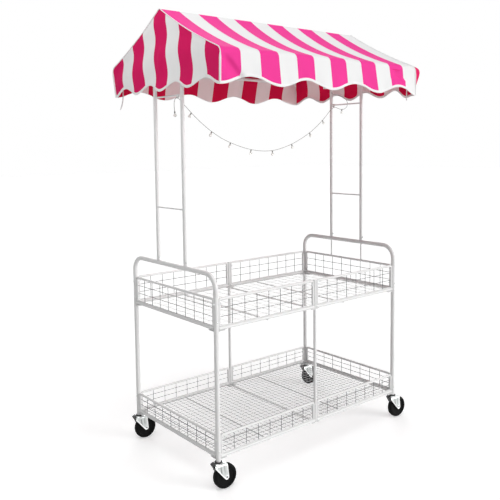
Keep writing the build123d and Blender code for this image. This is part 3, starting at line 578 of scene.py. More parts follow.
# Canopy cover: one sheet of striped polyester runs from the front hem over the eave, the ridge and the
# other eave to the back hem. It sags between the bars, and its skirts flare and ripple down to a wavy hem.
canopy_half = 0.570
canopy_depth = 0.395
canopy_top = 1.885
canopy_eave = 1.686
canopy_hem = 1.559
ridge_radius = 0.0103
shoulder_radius = 0.028
hem_rise = 0.032
hem_waves = 4
roof_stripes = 12
cloth_wall = 0.0014
end_sag, middle_sag = np.radians(5.0), np.radians(10.5)
skirt_flare, back_flare = 0.020, 0.010
skirt_ripple, ripple_share, ripple_power = 0.010, 0.6, 1.4
flutter, flutter_run = 0.0016, 0.083
front_crease, back_crease, crease_width = 0.0090, 0.0080, 0.045
front_crease_line = (0.415, 1.690), (0.470, 1.570)
back_crease_line = (0.580, 1.697), (0.470, 1.585)
front_kink, kink_x, kink_width = 0.014, 0.455, 0.055
kink_from, kink_over = 0.40, 0.20
corner_groove_line = (-0.575, 1.692), (-0.462, 1.575)
corner_groove, upper_width, lower_width, lower_slope = 0.011, 0.009, 0.040, 0.05
groove_below_top, groove_from_corner = 0.025, 0.030
corner_tuck, corner_width = 0.024, 0.10
ridge_center = np.array([0.0, canopy_top - ridge_radius])
eave_pitch = np.arctan2(canopy_top - canopy_eave, canopy_depth)
shoulder_center = np.array([
    -canopy_depth + shoulder_radius,
    canopy_eave - shoulder_radius * np.tan((np.pi / 2 - eave_pitch) / 2),
])
skirt_top = shoulder_center[1]


def arc(center, radius, turn):
    """Points of an arc: centre + radius * (-sin a, cos a)."""
    return center + radius * np.stack([-np.sin(turn), np.cos(turn)], axis=-1)


def canopy_section(sag):
    """Front half of the cover's section for each sag angle, from the ridge down to the skirt's top.

    Ridge arc from upright to pitch + sag, slope arc that turns by twice the sag, shoulder arc to level,
    with the slope arc's chord between the other two arcs' ends.
    """
    run = shoulder_center - ridge_center
    lean = np.arctan2(-run[1], -run[0]) - np.arcsin(
        (shoulder_radius - ridge_radius) * np.cos(sag) / np.linalg.norm(run)
    )
    ridge = arc(ridge_center, ridge_radius, np.linspace(0, 1, 6)[:, None] * (lean + sag))
    shoulder_turn = (lean - sag) + np.linspace(0, 1, 13)[:, None] * (np.pi / 2 - (lean - sag))
    shoulder = arc(shoulder_center, shoulder_radius, shoulder_turn)
    chord = shoulder[0] - ridge[-1]
    square = np.stack([-chord[..., 1], chord[..., 0]], axis=-1)
    turn = np.linspace(-1, 1, 31)[1:-1, None] * sag
    along = (1 + np.sin(turn) / np.sin(sag)) / 2
    dip = (np.cos(turn) - np.cos(sag)) / np.sin(sag) / 2
    slope = ridge[-1] + along[..., None] * chord + dip[..., None] * square
    return np.concatenate([ridge, slope, shoulder], axis=0)


def hem_wave(place, run):
    """0 at a hem's low points, at both ends and between the waves, and 1 at its crests: (1 - cos) / 2."""
    return (1 - np.cos(2 * np.pi * hem_waves * (place / run + 0.5))) / 2


def hem_height(place, run):
    """Height of a wavy hem."""
    return canopy_hem + hem_rise * hem_wave(place, run)


def bell(away, width):
    """A smooth rise to 1 on a line: exp(-(away / width)^2)."""
    return np.exp(-((away / width) ** 2))


def crease(x, z, start, end, width):
    """A sharp fold between two points: 1 on their line, 0 at width from it, fading at its ends."""
    start, end = np.asarray(start), np.asarray(end)
    length = np.linalg.norm(end - start)
    way = (end - start) / length
    along = ((x - start[0]) * way[0] + (z - start[1]) * way[1]) / length
    away = np.abs((x - start[0]) * way[1] - (z - start[1]) * way[0])
    fade = np.clip(1 - (2 * np.clip(along, -0.2, 1.2) - 1) ** 4, 0, 1)
    return np.clip(1 - away / width, 0, 1) * fade


def front_tuck(x, z):
    """How far the front skirt's left corner is drawn in: a slanting groove, steep above and gentle below.

    A bell over the distance from its line, with a width of its own on each side, nil at the skirt's top
    and corner, and a slight slope that goes on below the line.
    """
    fold_top, fold_foot = np.array(corner_groove_line)
    way = unit(fold_foot - fold_top)
    past = (x - fold_top[0]) * way[1] - (z - fold_top[1]) * way[0]
    groove = corner_groove * bell(past, np.where(past > 0, lower_width, upper_width))
    groove = groove * np.clip((skirt_top - z) / groove_below_top, 0, 1)
    groove = groove * np.clip((x + canopy_half) / groove_from_corner, 0, 1)
    return groove + lower_slope * np.clip(past, 0, None)


def skirt_sway(x, z, fall, face):
    """How far a front or back skirt stands out: a flare that grows down the cloth, less ripple and folds."""
    ends = np.clip(1 - (x / canopy_half) ** 8, 0, 1)
    flare = skirt_flare * ends * (0.45 + 0.55 * (x + canopy_half) / (2 * canopy_half)) * fall
    ripple = skirt_ripple * hem_wave(x, 2 * canopy_half) * fall**ripple_power
    small = flutter * np.sin(2 * np.pi * x / flutter_run + 1.3 * face) * fall**1.5 * ends
    if face < 0:
        slant = front_crease * crease(x, z, *front_crease_line, crease_width) * ends
        kink = front_kink * np.clip((fall - kink_from) / kink_over, 0, 1) * bell(x - kink_x, kink_width)
        folds = kink - slant - front_tuck(x, z)
    else:
        slant = back_crease * crease(x, z, *back_crease_line, crease_width)
        tuck = corner_tuck * fall * bell(x + canopy_half, corner_width)
        folds = slant + back_flare * ends * fall - tuck
    return flare - ripple_share * ripple + small + folds


roof_x = np.linspace(-canopy_half, canopy_half, 193)
roof_sag = end_sag + (middle_sag - end_sag) * np.clip(1 - (roof_x / half_x) ** 2, 0, 1)
upper = canopy_section(roof_sag)
fall = np.linspace(0, 1, 25)[1:, None]
hem_line = hem_height(roof_x, 2 * canopy_half)
halves = []
for face in (-1, 1):
    skirt_z = skirt_top - fall * (skirt_top - hem_line)
    skirt_y = -canopy_depth - skirt_sway(roof_x, skirt_z, fall, face)
    half = np.concatenate([upper, np.stack([skirt_y, skirt_z], axis=-1)], axis=0)
    halves.append(half * (-face, 1))
section = np.concatenate([halves[0][::-1], halves[1][1:]], axis=0)
roof_columns = np.broadcast_to(roof_x[None, :, None], section.shape[:2] + (1,))
roof_grid = np.concatenate([roof_columns, section], axis=-1)


def sheet_faces(rows, columns):
    """Quads of a sheet of points, row by row."""
    return grid_faces(np.arange(rows * columns).reshape(rows, columns))


def reckoned(owner, operation, first, second, **settings):
    """Result of one arithmetic step on two numbers or outputs."""
    terms = {0: first, 1: second}
    return finish_node(owner, "ShaderNodeMath", terms, operation=operation, **settings).outputs[0]


def striped_cloth(name, pink, white):
    """Woven polyester in two colours: stripes counted by the cloth's u, a fine weave, soft crumples."""
    material, shader, place = new_finish(name, Specular_IOR_Level=0.12, IOR=1.45)
    cloth = finish_node(material, "ShaderNodeUVMap", uv_map="cloth").outputs["UV"]
    count = finish_node(material, "ShaderNodeSeparateXYZ", {0: cloth}).outputs["X"]
    second = reckoned(material, "GREATER_THAN", reckoned(material, "MODULO", count, 2.0), 1.0)
    wash = noise(material, place, 9, 4.0)
    pinks = tinted(material, wash, [c * 0.93 for c in pink], [min(1.0, c * 1.05) for c in pink])
    whites = tinted(material, wash, [c * 0.96 for c in white], white)
    threads = finish_node(
        material, "ShaderNodeVectorMath", {0: place, 1: (900.0, 900.0, 900.0)}, operation="MULTIPLY"
    ).outputs[0]
    thread_wave = {"Vector": threads, "Scale": 1.0, "Distortion": 0.6}
    warp, weft = (
        finish_node(material, "ShaderNodeTexWave", thread_wave, bands_direction=way).outputs["Fac"]
        for way in "XZ"
    )
    weave = bumped(material, reckoned(material, "ADD", warp, weft), 0.15, 0.0002)
    crumple = {"Height": noise(material, place, 28), "Strength": 0.25, "Distance": 0.004, "Normal": weave}
    join_finish(
        material,
        shader,
        Base_Color=tinted(material, second, pinks, whites),
        Roughness=ranged(material, wash, 0.62, 0.78),
        Normal=finish_node(material, "ShaderNodeBump", crumple).outputs["Normal"],
    )
    return material


outer_cloth = striped_cloth("striped_cloth", (0.86, 0.045, 0.31), (0.84, 0.84, 0.84))
# Reverse side of the same cloth. Its deeper pink is painted shade. Its brighter, pink-tinged white is painted
# light for light that comes through the cloth and bounces off the pink.
inner_cloth_painted_light = striped_cloth("striped_cloth_reverse_painted_light", (0.70, 0.003, 0.060), (0.93, 0.80, 0.80))


def cloth_sheet(name, grid, uv, outside, nodes):
    """A cloth on a grid of points whose faces point out, its wall inwards and its reverse side inside,
    coloured with painted shade and painted pink light.
    """
    rows, columns = grid.shape[:2]
    shape = (grid.reshape(-1, 3), sheet_faces(rows, columns))
    sheet = make_piece(name, shape, outside, "cart", nodes, uv.reshape(-1, 2), sheet=True)
    sheet.data.materials.append(inner_cloth_painted_light)
    wall = sheet.modifiers.new("cloth_wall", "SOLIDIFY")
    wall.thickness = cloth_wall
    wall.offset = -1.0
    wall.material_offset = 1
    return sheet


girth = np.concatenate([
    np.zeros((1, len(roof_x))),
    np.cumsum(np.linalg.norm(np.diff(roof_grid, axis=0), axis=-1), axis=0),
])
roof_u = (roof_x + canopy_half) / (2 * canopy_half) * roof_stripes
roof_uv = np.stack([np.broadcast_to(roof_u, girth.shape), girth], axis=-1)
canopy_cover = cloth_sheet("canopy_cover", roof_grid, roof_uv, outer_cloth, ["canopy_roof"])

# Gable cloths: the two ends of the cover, cut to the roof's section and sewn to it along rakes and corners.
# They hang slack, so their upright stripes wander in soft folds. The right one bulges at its front corner.
gable_stripes = 9
gable_x = canopy_half - 0.0025
gable_edge = canopy_depth - 0.0008
gable_below_rake = 0.0012
gable_fold, fold_run, fold_height = 0.0048, 0.155, 1.615
fold_wander, wander_rate = 2.2, 5.0
side_margin, top_margin = 0.10, 0.15
gable_tuck, gable_tuck_width = 0.0060, 0.024
gable_tuck_line = (-0.012, 1.735), (0.010, 1.625)
gable_ripple_share, gable_flare = 0.7, 0.004
corner_puff, puff_root, puff_width = 0.092, 0.006, 0.08
low_corner_dip, low_corner_at, low_corner_width = 0.028, 0.060, 0.030
corner_start = 0.2
end_section = canopy_section(np.array([end_sag]))[:, 0, :]
rake_y = np.concatenate([end_section[::-1, 0], -end_section[1:, 0]])
rake_z = np.concatenate([end_section[::-1, 1], end_section[1:, 1]])
# The gables are the same cloth as the roof. They are drawn with a deeper pink as painted shade and a brighter
# white as painted light.
gable_cloth_shade_and_light = striped_cloth("striped_gable_cloth_painted_light", (0.70, 0.009, 0.12), (0.90, 0.89, 0.89))


def skirt_fall(z):
    """How far down the skirt a height lies, from 0 at its top to 1 at the hem's low points."""
    return np.clip((skirt_top - z) / (skirt_top - canopy_hem), 0, 1)


def gable_sway(y, z, climb, side):
    """How far a gable cloth stands out: level folds that wander across it, less the ripple of its hem.

    Folds are sines of the height shifted by a sine of y, nil at the edges. The right cloth's front corner
    has a bulge of climb^1.2 * sqrt(1 - climb^6), steep at the corner and a bell away from it.
    """
    edge = np.clip((1 - np.abs(y) / gable_edge) / side_margin, 0, 1)
    edge = edge * np.clip((1 - climb) / top_margin, 0, 1)
    fall = skirt_fall(z)
    ripple = skirt_ripple * hem_wave(y, 2 * gable_edge) * fall**ripple_power
    wander = fold_wander * np.sin(wander_rate * y + side)
    folds = gable_fold * np.sin(2 * np.pi * (z - fold_height) / fold_run + wander)
    tuck = gable_tuck * crease(y, z, *gable_tuck_line, gable_tuck_width)
    from_corner = y + gable_edge
    bulge = climb**1.2 * np.sqrt(np.clip(1 - climb**6, 0, 1))
    puff = corner_puff * bulge * (1 - np.exp(-from_corner / puff_root)) * bell(from_corner, puff_width)
    return edge * (folds + tuck + gable_flare * fall) + puff * (side > 0) - gable_ripple_share * ripple


gables = {}
for side, sx in cart_ends.items():
    gable_y = gable_edge * np.sin(np.linspace(-np.pi / 2, np.pi / 2, 133))
    gable_top = np.interp(gable_y, rake_y, rake_z) - gable_below_rake
    low_corner = low_corner_dip * bell(gable_y + gable_edge - low_corner_at, low_corner_width) * (sx > 0)
    gable_hem = hem_height(gable_y, 2 * gable_edge) - low_corner
    climb = np.linspace(0, 1, 61)[:, None]
    gable_z = gable_hem + climb * (gable_top - gable_hem)
    out = gable_sway(gable_y, gable_z, climb, sx)
    near_back, near_front = (
        np.clip((toward * gable_y - corner_start) / (gable_edge - corner_start), 0, 1) ** 2 * (sx < 0)
        for toward in (1, -1)
    )
    tucked = corner_tuck * skirt_fall(gable_z) * near_back
    pulled = front_tuck(-canopy_half, gable_z) * near_front
    gable_grid = np.stack([sx * (gable_x + out), gable_y - tucked + pulled, gable_z], axis=-1)
    gable_u = np.broadcast_to((gable_y + gable_edge) / (2 * gable_edge) * gable_stripes, out.shape)
    gable_uv = np.stack([gable_u, gable_z], axis=-1)
    order = slice(None, None, sx)
    gable_cloth = cloth_sheet(
        f"{side}_gable", gable_grid[:, order], gable_uv[:, order], gable_cloth_shade_and_light, [f"{side}_gable_cloth"]
    )
    across, upward = np.diff(gable_grid, axis=1), np.diff(gable_grid, axis=0)
    gable_width = float(np.linalg.norm(across[..., :2], axis=-1).sum(axis=1).max())
    gable_height = float(np.linalg.norm(upward, axis=-1).sum(axis=0).max())
    gable_area = float(np.linalg.norm(np.cross(across[:-1], upward[:, :-1]), axis=-1).sum())
    gables[side] = gable_cloth, gable_grid[:, order], (gable_width, gable_height), gable_area

# Binding: white tape folded over the wavy hems and stitched, and white piping sewn in the rakes and corners
# where the gables meet the roof cloth. Two loose tie tapes hang inside the corners, sewn under the eaves.
tape, tape_shader, tape_place = new_finish("white_tape", Roughness=0.7, Sheen_Weight=0.3)
tape_way = finish_node(tape, "ShaderNodeUVMap", uv_map="cloth").outputs["UV"]
tape_ribs = finish_node(
    tape, "ShaderNodeTexWave", {"Vector": tape_way, "Scale": 260.0, "Distortion": 0.2}, bands_direction="X"
).outputs["Fac"]
join_finish(
    tape,
    tape_shader,
    Base_Color=tinted(tape, noise(tape, tape_place, 40), (0.82, 0.82, 0.82), (0.87, 0.87, 0.87)),
    Normal=bumped(tape, tape_ribs, 0.2, 0.0004),
)
tape_width, tape_half, tape_inset = 0.0085, 0.0016, 0.0007
fold_angles = np.linspace(0, np.pi, 7)
fold_across, fold_up = np.sin(fold_angles), np.cos(fold_angles)
tape_section = np.vstack([
    np.column_stack([-tape_half * fold_across, tape_half * fold_up]),
    np.column_stack([tape_width + tape_half * 0.5 * fold_across, -tape_half * 0.8 * fold_up]),
])
piping_inset, piping_radius, corner_swell = 0.0016, 0.0021, 0.0021
swell_above, swell_over = 0.004, 0.02
tie_half_width, tie_half_thick = 0.0026, 0.0005
tie_across, tie_out = np.array([0.78, -0.626, 0.0]), np.array([0.626, 0.78, 0.0])
tie_lines = {
    "back_left_tie": (
        (-0.532, 0.386, 1.655), (-0.531, 0.372, 1.600), (-0.528, 0.372, 1.545), (-0.5425, 0.384, 1.505),
    ),
    "front_right_tie": (
        (0.557, -0.372, 1.655), (0.556, -0.358, 1.615), (0.554, -0.355, 1.570), (0.556, -0.357, 1.537),
    ),
}


def bound_hem(grid):
    """Tape carried along a cloth's hem row: its width runs up the cloth, and its fold lies round the edge."""
    edge = grid[0]
    rise = unit(grid[2] - edge)
    out = unit(np.cross(np.gradient(edge, axis=0), rise))
    return carried(edge - out * tape_inset, rise, out, tape_section)


def path_uv(path, sides):
    """u is the way along a path in metres, v goes once round the section."""
    way = np.concatenate([[0.0], np.cumsum(np.linalg.norm(np.diff(path, axis=0), axis=1))])
    return np.stack(np.meshgrid(way, np.arange(sides) / sides, indexing="ij"), axis=-1).reshape(-1, 2)


def sewn(name, shape, uv, sheet=True):
    """A piece of binding on the cart."""
    return make_piece(name, shape, tape, "cart", uv=uv, sheet=sheet)


def hung_tape(ends, steps=25):
    """A narrow flat tape on a cubic Bezier curve: sum of C(3, k) t^k (1 - t)^(3 - k) over its four points."""
    t = np.linspace(0, 1, steps)[:, None]
    weights = np.concatenate([(1 - t) ** 3, 3 * t * (1 - t) ** 2, 3 * t**2 * (1 - t), t**3], axis=1)
    line = weights @ np.array(ends)
    flat = circle_section(1.0, 10) * (tie_half_width, tie_half_thick)
    return carried(line, tie_across, tie_out, flat), path_uv(line, 10)


for name, grid in (("front_hem_tape", roof_grid), ("back_hem_tape", roof_grid[::-1])):
    sewn(name, bound_hem(grid), path_uv(grid[0], len(tape_section)))
for side, sx in cart_ends.items():
    rake = roof_grid[:, 0 if sx < 0 else -1]
    along = unit(np.gradient(rake, axis=0))
    end_way = np.array([float(sx), 0.0, 0.0])
    below = (skirt_top + swell_above - rake[:, 2]) / swell_over
    swell = piping_radius + corner_swell * np.clip(below, 0, 1)
    piping_line = rake - end_way * piping_inset
    piping = carried(piping_line, end_way, np.cross(along, end_way), circle_section(1.0, 12), swell)
    sewn(f"{side}_corner_piping", piping, path_uv(rake, 12), sheet=False)
for name, ends in tie_lines.items():
    sewn(name, *hung_tape(ends))
for side, (gable_cloth, gable_grid, gable_cut, gable_area) in gables.items():
    hem_uv = path_uv(gable_grid[0], len(tape_section))
    hem_tape = sewn(f"{side}_gable_hem_tape", bound_hem(gable_grid), hem_uv)

# Casters: a black tread wheel on a plain axle in a pressed zinc fork, which swivels under a black collar on
# a stem plugged in the leg. A black brake pedal rocks on a pin at the fork's front edge.
caster_heading = np.radians(-6.0)
trail_way = np.array([np.cos(caster_heading), np.sin(caster_heading), 0.0])
axle_way = np.array([-np.sin(caster_heading), np.cos(caster_heading), 0.0])
rise_way = np.array([0.0, 0.0, 1.0])
caster_trail, axle_height = 0.028, 0.050
wheel_half = np.array([
    (4.05, 13.2), (11.2, 13.2), (12.0, 12.6), (12.2, 9.0), (13.0, 8.2), (33.0, 8.0), (35.6, 9.0),
    (36.6, 11.4), (37.4, 12.0), (39.4, 12.0), (39.9, 11.3), (41.1, 11.3), (41.6, 12.0), (44.0, 11.9),
    (46.8, 11.0), (48.8, 8.8), (49.7, 6.0), (50.0, 2.5),
]) / 1000
wheel_profile = np.vstack([wheel_half, wheel_half[::-1] * (1, -1)])
rubber = mottled(
    "tread_rubber", 35, (0.002, 0.002, 0.002), (0.008, 0.008, 0.008), detail=5.0, rough=(0.5, 0.75),
    grain=(1200, 2.0, 0.3, 0.0003), Specular_IOR_Level=0.08,
)
# The fork's colour holds painted shade in its grooves and a painted highlight along its rim. These come from
# a value per point that pressed_fork gives, with random tone from soft noise on top.
fork_zinc, fork_shader, fork_place = new_finish("pressed_zinc_painted_light", Metallic=1.0)
groove_shade_rim_highlight = finish_node(fork_zinc, "ShaderNodeAttribute", attribute_name="groove_shade_rim_highlight").outputs["Fac"]
fork_cloud = noise(fork_zinc, fork_place, 130, 4.0)
fork_painted_light_tone = reckoned(fork_zinc, "ADD", groove_shade_rim_highlight, ranged(fork_zinc, fork_cloud, -0.10, 0.10))
out_of_groove_shade, rim_highlight_share = (
    finish_node(fork_zinc, "ShaderNodeMapRange", {"Value": fork_painted_light_tone, half: 0.5}).outputs[0]
    for half in ("From Max", "From Min")
)
fork_flat_with_groove_shade = tinted(fork_zinc, out_of_groove_shade, (0.16, 0.17, 0.17), (0.62, 0.65, 0.64))
join_finish(
    fork_zinc,
    fork_shader,
    Base_Color=tinted(fork_zinc, rim_highlight_share, fork_flat_with_groove_shade, (0.93, 0.94, 0.94)),
    Roughness=ranged(fork_zinc, fork_cloud, 0.24, 0.42),
)
fork_mid = 0.01475
fork_bend = 0.0045
fork_top = 0.1025
fork_wall = 0.0025
foot_radius = 0.010
rim_width, rim_height, rim_reach, cheek_blend = 0.0040, 0.0014, 1.4, 0.006
groove_depth, groove_top, groove_foot, groove_run = 0.0012, 0.097, 0.058, 0.016
groove_lines = ((0.0015, 0.16, 0.0024, 1.0), (0.0178, 0.10, 0.0030, 0.55))
foot_at = np.array([caster_trail, axle_height])
front_corner, back_corner = np.array([-0.0220, 0.0935]), np.array([0.0330, 0.0980])
cheek_top = fork_top - fork_bend
cheek_drop = np.linspace(axle_height - foot_radius, cheek_top, 44)
bend_turn = np.linspace(0, np.pi / 2, 7)[1:]
half_v = np.concatenate([
    np.full(len(cheek_drop), -fork_mid),
    -fork_mid + fork_bend * (1 - np.cos(bend_turn)),
    np.linspace(-fork_mid + fork_bend, 0, 6)[1:],
])
half_z = np.concatenate([cheek_drop, cheek_top + fork_bend * np.sin(bend_turn), np.full(5, fork_top)])
fork_v = np.concatenate([half_v, -half_v[-2::-1]])
fork_z = np.concatenate([half_z, half_z[-2::-1]])


def foot_tangent(corner, turn):
    """Where the straight edge from a corner of the fork meets its round foot, on the side that turn gives."""
    way = corner - foot_at
    angle = np.arctan2(way[1], way[0]) + turn * np.arccos(foot_radius / np.linalg.norm(way))
    return foot_at + foot_radius * np.array([np.cos(angle), np.sin(angle)])


front_foot, back_foot = foot_tangent(front_corner, 1), foot_tangent(back_corner, -1)


def fork_edges(z):
    """Front and back edge of the fork's sheet at a height: round the axle below, straight to the corners."""
    round_part = np.sqrt(np.clip(foot_radius**2 - (z - axle_height) ** 2, 0, None))
    front_line = np.interp(z, [front_foot[1], front_corner[1]], [front_foot[0], front_corner[0]])
    back_line = np.interp(z, [back_foot[1], back_corner[1]], [back_foot[0], back_corner[0]])
    front = np.where(z < front_foot[1], caster_trail - round_part, front_line)
    back = np.where(z < back_foot[1], caster_trail + round_part, back_line)
    return front, back


def pressed_fork():
    """One sheet bent to an upside-down U, with a raised rim along its edges and two grooves down each cheek.

    The rim is a smooth step on the distance from the edge, and each groove a bell across a slanting line.
    Also gives each point's painted light for the colour: 0 for painted shade in a groove, 0.5 on the flat, 1
    for a painted highlight on the rim.
    """
    share = np.linspace(0, 1, 49)
    z = fork_z[:, None]
    front, back = fork_edges(z)
    u = front + share * (back - front)
    on_cheek = np.clip((cheek_top - z) / cheek_blend, 0, 1)
    from_foot = foot_radius - np.hypot(u - caster_trail, z - axle_height)
    from_edge = np.where(z < axle_height, from_foot, np.minimum(u - front, back - u))
    rim = np.clip(rim_reach - from_edge / rim_width, 0, 1)
    rim = rim * rim * (3 - 2 * rim) * on_cheek
    grooves = sum(
        deep * bell(u - start - lean * (groove_top - z), width) for start, lean, width, deep in groove_lines
    )
    groove_fade = on_cheek * np.clip((z - groove_foot) / groove_run, 0, 1)
    groove = np.clip(grooves, 0, 1) * groove_fade * (1 - rim)
    v = fork_v[:, None] + np.sign(fork_v)[:, None] * (rim_height * rim - groove_depth * groove)
    grid = u[..., None] * trail_way + v[..., None] * axle_way + z[..., None] * rise_way
    shade_and_highlight = 0.5 + 0.5 * rim - 0.5 * groove
    return (grid.reshape(-1, 3), sheet_faces(*u.shape)), shade_and_highlight.ravel()


race_profile = np.array([
    (5.1, 103.9), (20.0, 103.9), (21.0, 104.8), (20.7, 107.2), (18.6, 109.2), (14.6, 109.7), (5.1, 109.7),
]) / 1000
collar_profile = np.array([
    (0.0, 115.0), (8.4, 115.0), (8.4, 114.98), (14.2, 114.9), (15.0, 114.2), (15.0, 111.0), (14.0, 110.0),
    (5.02, 110.0), (0.0, 110.0),
]) / 1000
rivet_profile = np.array([
    (0.0, 97.7), (5.2, 97.8), (7.1, 98.6), (7.5, 99.6), (7.4, 100.6), (5.0, 100.65), (5.0, 110.0),
    (0.0, 110.0),
]) / 1000
pin_profile = np.array([
    (0.0, -17.4), (2.6, -17.2), (3.6, -16.4), (3.6, -16.0), (2.5, -15.9), (2.5, 15.9), (3.6, 16.0),
    (3.6, 16.4), (2.6, 17.2), (0.0, 17.4),
]) / 1000
axle_profile = np.array([(0.0, -16.4), (4.0, -16.4), (4.0, 16.4), (0.0, 16.4)]) / 1000
axle_head_profile = np.array([
    (0.0, 16.0), (6.6, 16.0), (6.6, 16.9), (6.2, 17.3), (5.4, 17.4), (5.2, 18.8), (4.8, 19.2), (3.2, 19.2),
    (3.1, 17.6), (0.0, 17.6),
]) / 1000
# A dark disc sunk in each axle head's socket: painted shade for the recess.
axle_socket_shade_profile = np.array([(0.0, 17.5), (3.2, 17.5), (3.2, 18.6), (2.6, 18.9), (0.0, 18.9)]) / 1000
hub_ring = np.array([(2.55, -10.0), (4.6, -10.0), (5.0, -9.6), (5.0, 9.6), (4.6, 10.0), (2.55, 10.0)]) / 1000
pedal_pin = np.array([-0.018, 0.0935])
pedal_reach, shoe_half, pedal_swing = 0.0126, 0.0030, np.radians(25.0)
pedal_half_width, pedal_half_thick, shoe_half_width = 0.0100, 0.0015, 0.0095
pedal_line = np.array([
    (-19.5, 88.5), (-23.1, 94.5), (-27.0, 101.0), (-29.8, 105.6), (-30.6, 107.2), (-30.0, 108.2),
    (-28.0, 109.1), (-23.0, 111.3), (-18.0, 113.5),
]) / 1000
to_axle = np.arctan2(*(foot_at - pedal_pin)[::-1])
shoe_angle = to_axle - pedal_swing - np.arctan2(shoe_half, pedal_reach)
shoe_way = np.array([np.cos(shoe_angle), np.sin(shoe_angle)])
shoe_line = pedal_pin + np.array([[0.3], [0.97]]) * pedal_reach * shoe_way


def moulded_strap(line, half_width, half_thick, power=0.35):
    """A flat moulding carried along a line in the caster's upright plane.

    Its section is (half_width * cos^power, half_thick * sin^power) round a turn, with the signs kept.
    """
    angles = np.linspace(0, 2 * np.pi, 28, endpoint=False)
    strap_section = np.column_stack([
        half_width * np.sign(np.cos(angles)) * np.abs(np.cos(angles)) ** power,
        half_thick * np.sign(np.sin(angles)) * np.abs(np.sin(angles)) ** power,
    ])
    way = unit(np.gradient(line, axis=0))
    path = line[:, :1] * trail_way + line[:, 1:] * rise_way
    up = -way[:, 1:] * trail_way + way[:, :1] * rise_way
    return carried(path, axle_way, up, strap_section)


axle_at = caster_trail * trail_way + axle_height * rise_way
pin_at = pedal_pin[0] * trail_way + pedal_pin[1] * rise_way
wheel = turned(wheel_profile, axle_at, axle_way, sides=96, closed=True)
axle = together([
    turned(axle_profile, axle_at, axle_way, sides=20),
    turned(axle_head_profile, axle_at, axle_way, sides=32),
    turned(axle_head_profile, axle_at, -axle_way, sides=32),
])
# Dark discs in the axle heads' sockets, which are painted shade and no real part.
axle_socket_shades = together([turned(axle_socket_shade_profile, axle_at, side * axle_way, sides=24) for side in (-1, 1)])
brake_pedal = together([
    moulded_strap(pedal_line, pedal_half_width, pedal_half_thick),
    moulded_strap(shoe_line, shoe_half_width, 0.9 * shoe_half),
    turned(hub_ring, pin_at, axle_way, sides=24, closed=True),
])
race = together([
    turned(race_profile, (0, 0, 0), rise_way, sides=48, closed=True),
    turned(pin_profile, pin_at, axle_way, sides=20),
])
collar = turned(collar_profile, (0, 0, 0), rise_way, sides=40)
rivet = turned(rivet_profile, (0, 0, 0), rise_way, sides=32)
fork_sheet, fork_shade_and_highlight = pressed_fork()
for depth, sy in cart_faces.items():
    for side, sx in cart_ends.items():
        caster = f"{depth}_{side}_caster"
        leg = np.array([sx * half_x, sy * half_y, 0.0])
        roller, swivel, brake = f"{caster}_roller", f"{caster}_swivel", f"{caster}_brake"
        made = {}
        for piece, shape, finish, body, slot, replaced in (
            ("wheel_dressed", wheel, rubber, roller, "wheel_rubber", "wheel"),
            ("axle_dressed", axle, zinc, swivel, "zinc_bolt", "axle"),
            ("brake_pedal_dressed", brake_pedal, black_moulding, brake, "black_plastic", "brake_pedal"),
            ("axle_socket_shades", axle_socket_shades, black_moulding, swivel, "black_plastic", None),
            ("fork_sheet", fork_sheet, fork_zinc, swivel, "zinc_plate", "fork"),
            ("race", race, zinc, swivel, "zinc_plate", None),
            ("collar", collar, black_moulding, "cart", "black_plastic", "stem"),
            ("rivet", rivet, zinc, "cart", "zinc_bolt", None),
        ):
            nodes = [f"{caster}_{replaced}"] if replaced else ()
            moved = shape[0] + leg, shape[1]
            thin = shape is fork_sheet
            made[piece] = make_piece(f"{caster}_{piece}", moved, finish, body, nodes, sheet=thin)
        fork = made["fork_sheet"]
        # The value per point that colours the fork: painted shade in the grooves, painted highlight on the
        # rim.
        fork.data.attributes.new("groove_shade_rim_highlight", "FLOAT", "POINT").data.foreach_set("value", fork_shade_and_highlight)
        wall = fork.modifiers.new("sheet_wall", "SOLIDIFY")
        wall.thickness = fork_wall
        wall.offset = 0.0

# Studio: a plain pale floor, a broad low key light from the front right, a soft light from above that puts
# the shadow under the cart, a weak one from behind, a small fill by the left gable and an even sky. The
# floor adds a little light of its own where it is seen, so that it reads as white paper.
floor_half = 30.0
floor_grey = (0.86, 0.86, 0.86, 1)
floor_glow = 0.37
sky_light, sky_white = 0.17, 1.0


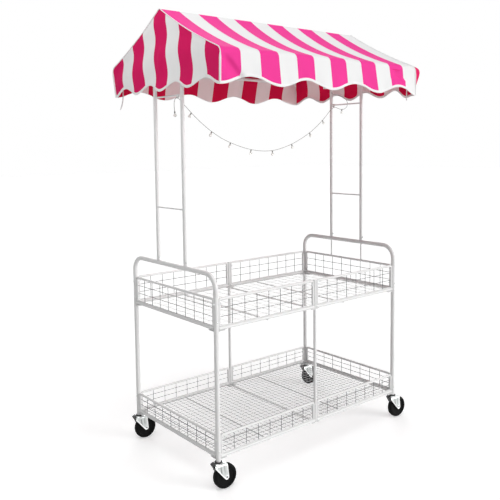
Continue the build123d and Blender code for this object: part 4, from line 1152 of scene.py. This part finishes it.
def seen_rays(owner):
    """1 for rays that show a surface, straight, in a mirror or through glass, and 0 for rays that light."""
    path = finish_node(owner, "ShaderNodeLightPath").outputs
    seen = reckoned(owner, "ADD", path["Is Camera Ray"], path["Is Glossy Ray"])
    return reckoned(owner, "ADD", seen, path["Is Transmission Ray"], use_clamp=True)


def add_lamp(name, kind, energy, place, target, **settings):
    """A lamp at a place, aimed at a target: its third axis points from the target back to the lamp."""
    data = bpy.data.lights.new(name, kind)
    data.energy = energy
    for key, value in settings.items():
        setattr(data, key, value)
    back = unit(np.subtract(place, target))
    right = unit(np.cross((0.0, 1.0, 0.2), back))
    stand(placed(name, data), place, right, np.cross(back, right), back)


floor_mesh = bpy.data.meshes.new("studio_floor")
floor_corners = floor_half * np.array([(-1, -1, 0), (1, -1, 0), (1, 1, 0), (-1, 1, 0)])
floor_mesh.from_pydata(floor_corners.tolist(), [], [(0, 1, 2, 3)])
studio_floor = placed("studio_floor", floor_mesh)
paper, paper_shader = new_finish(
    "white_paper", Base_Color=floor_grey, Roughness=0.9, Specular_IOR_Level=0.0, Emission_Color=(1, 1, 1, 1)
)[:2]
join_finish(paper, paper_shader, Emission_Strength=ranged(paper, seen_rays(paper), 0.0, floor_glow))
floor_mesh.materials.append(paper)
for name, way, energy, spread in (
    ("key_light", (2.08, -3.28, 0.80), 2.25, 30.0),
    ("top_light", (-0.64, -0.72, 3.88), 1.15, 50.0),
    ("back_light", (1.84, 3.12, 1.68), 1.05, 40.0),
):
    add_lamp(name, "SUN", energy, way, (0.0, 0.0, 0.0), angle=np.radians(spread))
add_lamp("fill_light", "AREA", 2.5, (-1.25, -0.05, 2.05), (-0.57, 0.0, 1.72), size=0.7)
world = bpy.data.worlds.new("studio_sky")
bpy.context.scene.world = world
world.use_nodes = True
sky = world.node_tree.nodes["Background"]
sky.inputs["Color"].default_value = (1, 1, 1, 1)
join_finish(world, sky, Strength=ranged(world, seen_rays(world), sky_light, sky_white))
bpy.context.scene.view_settings.view_transform = "Standard"
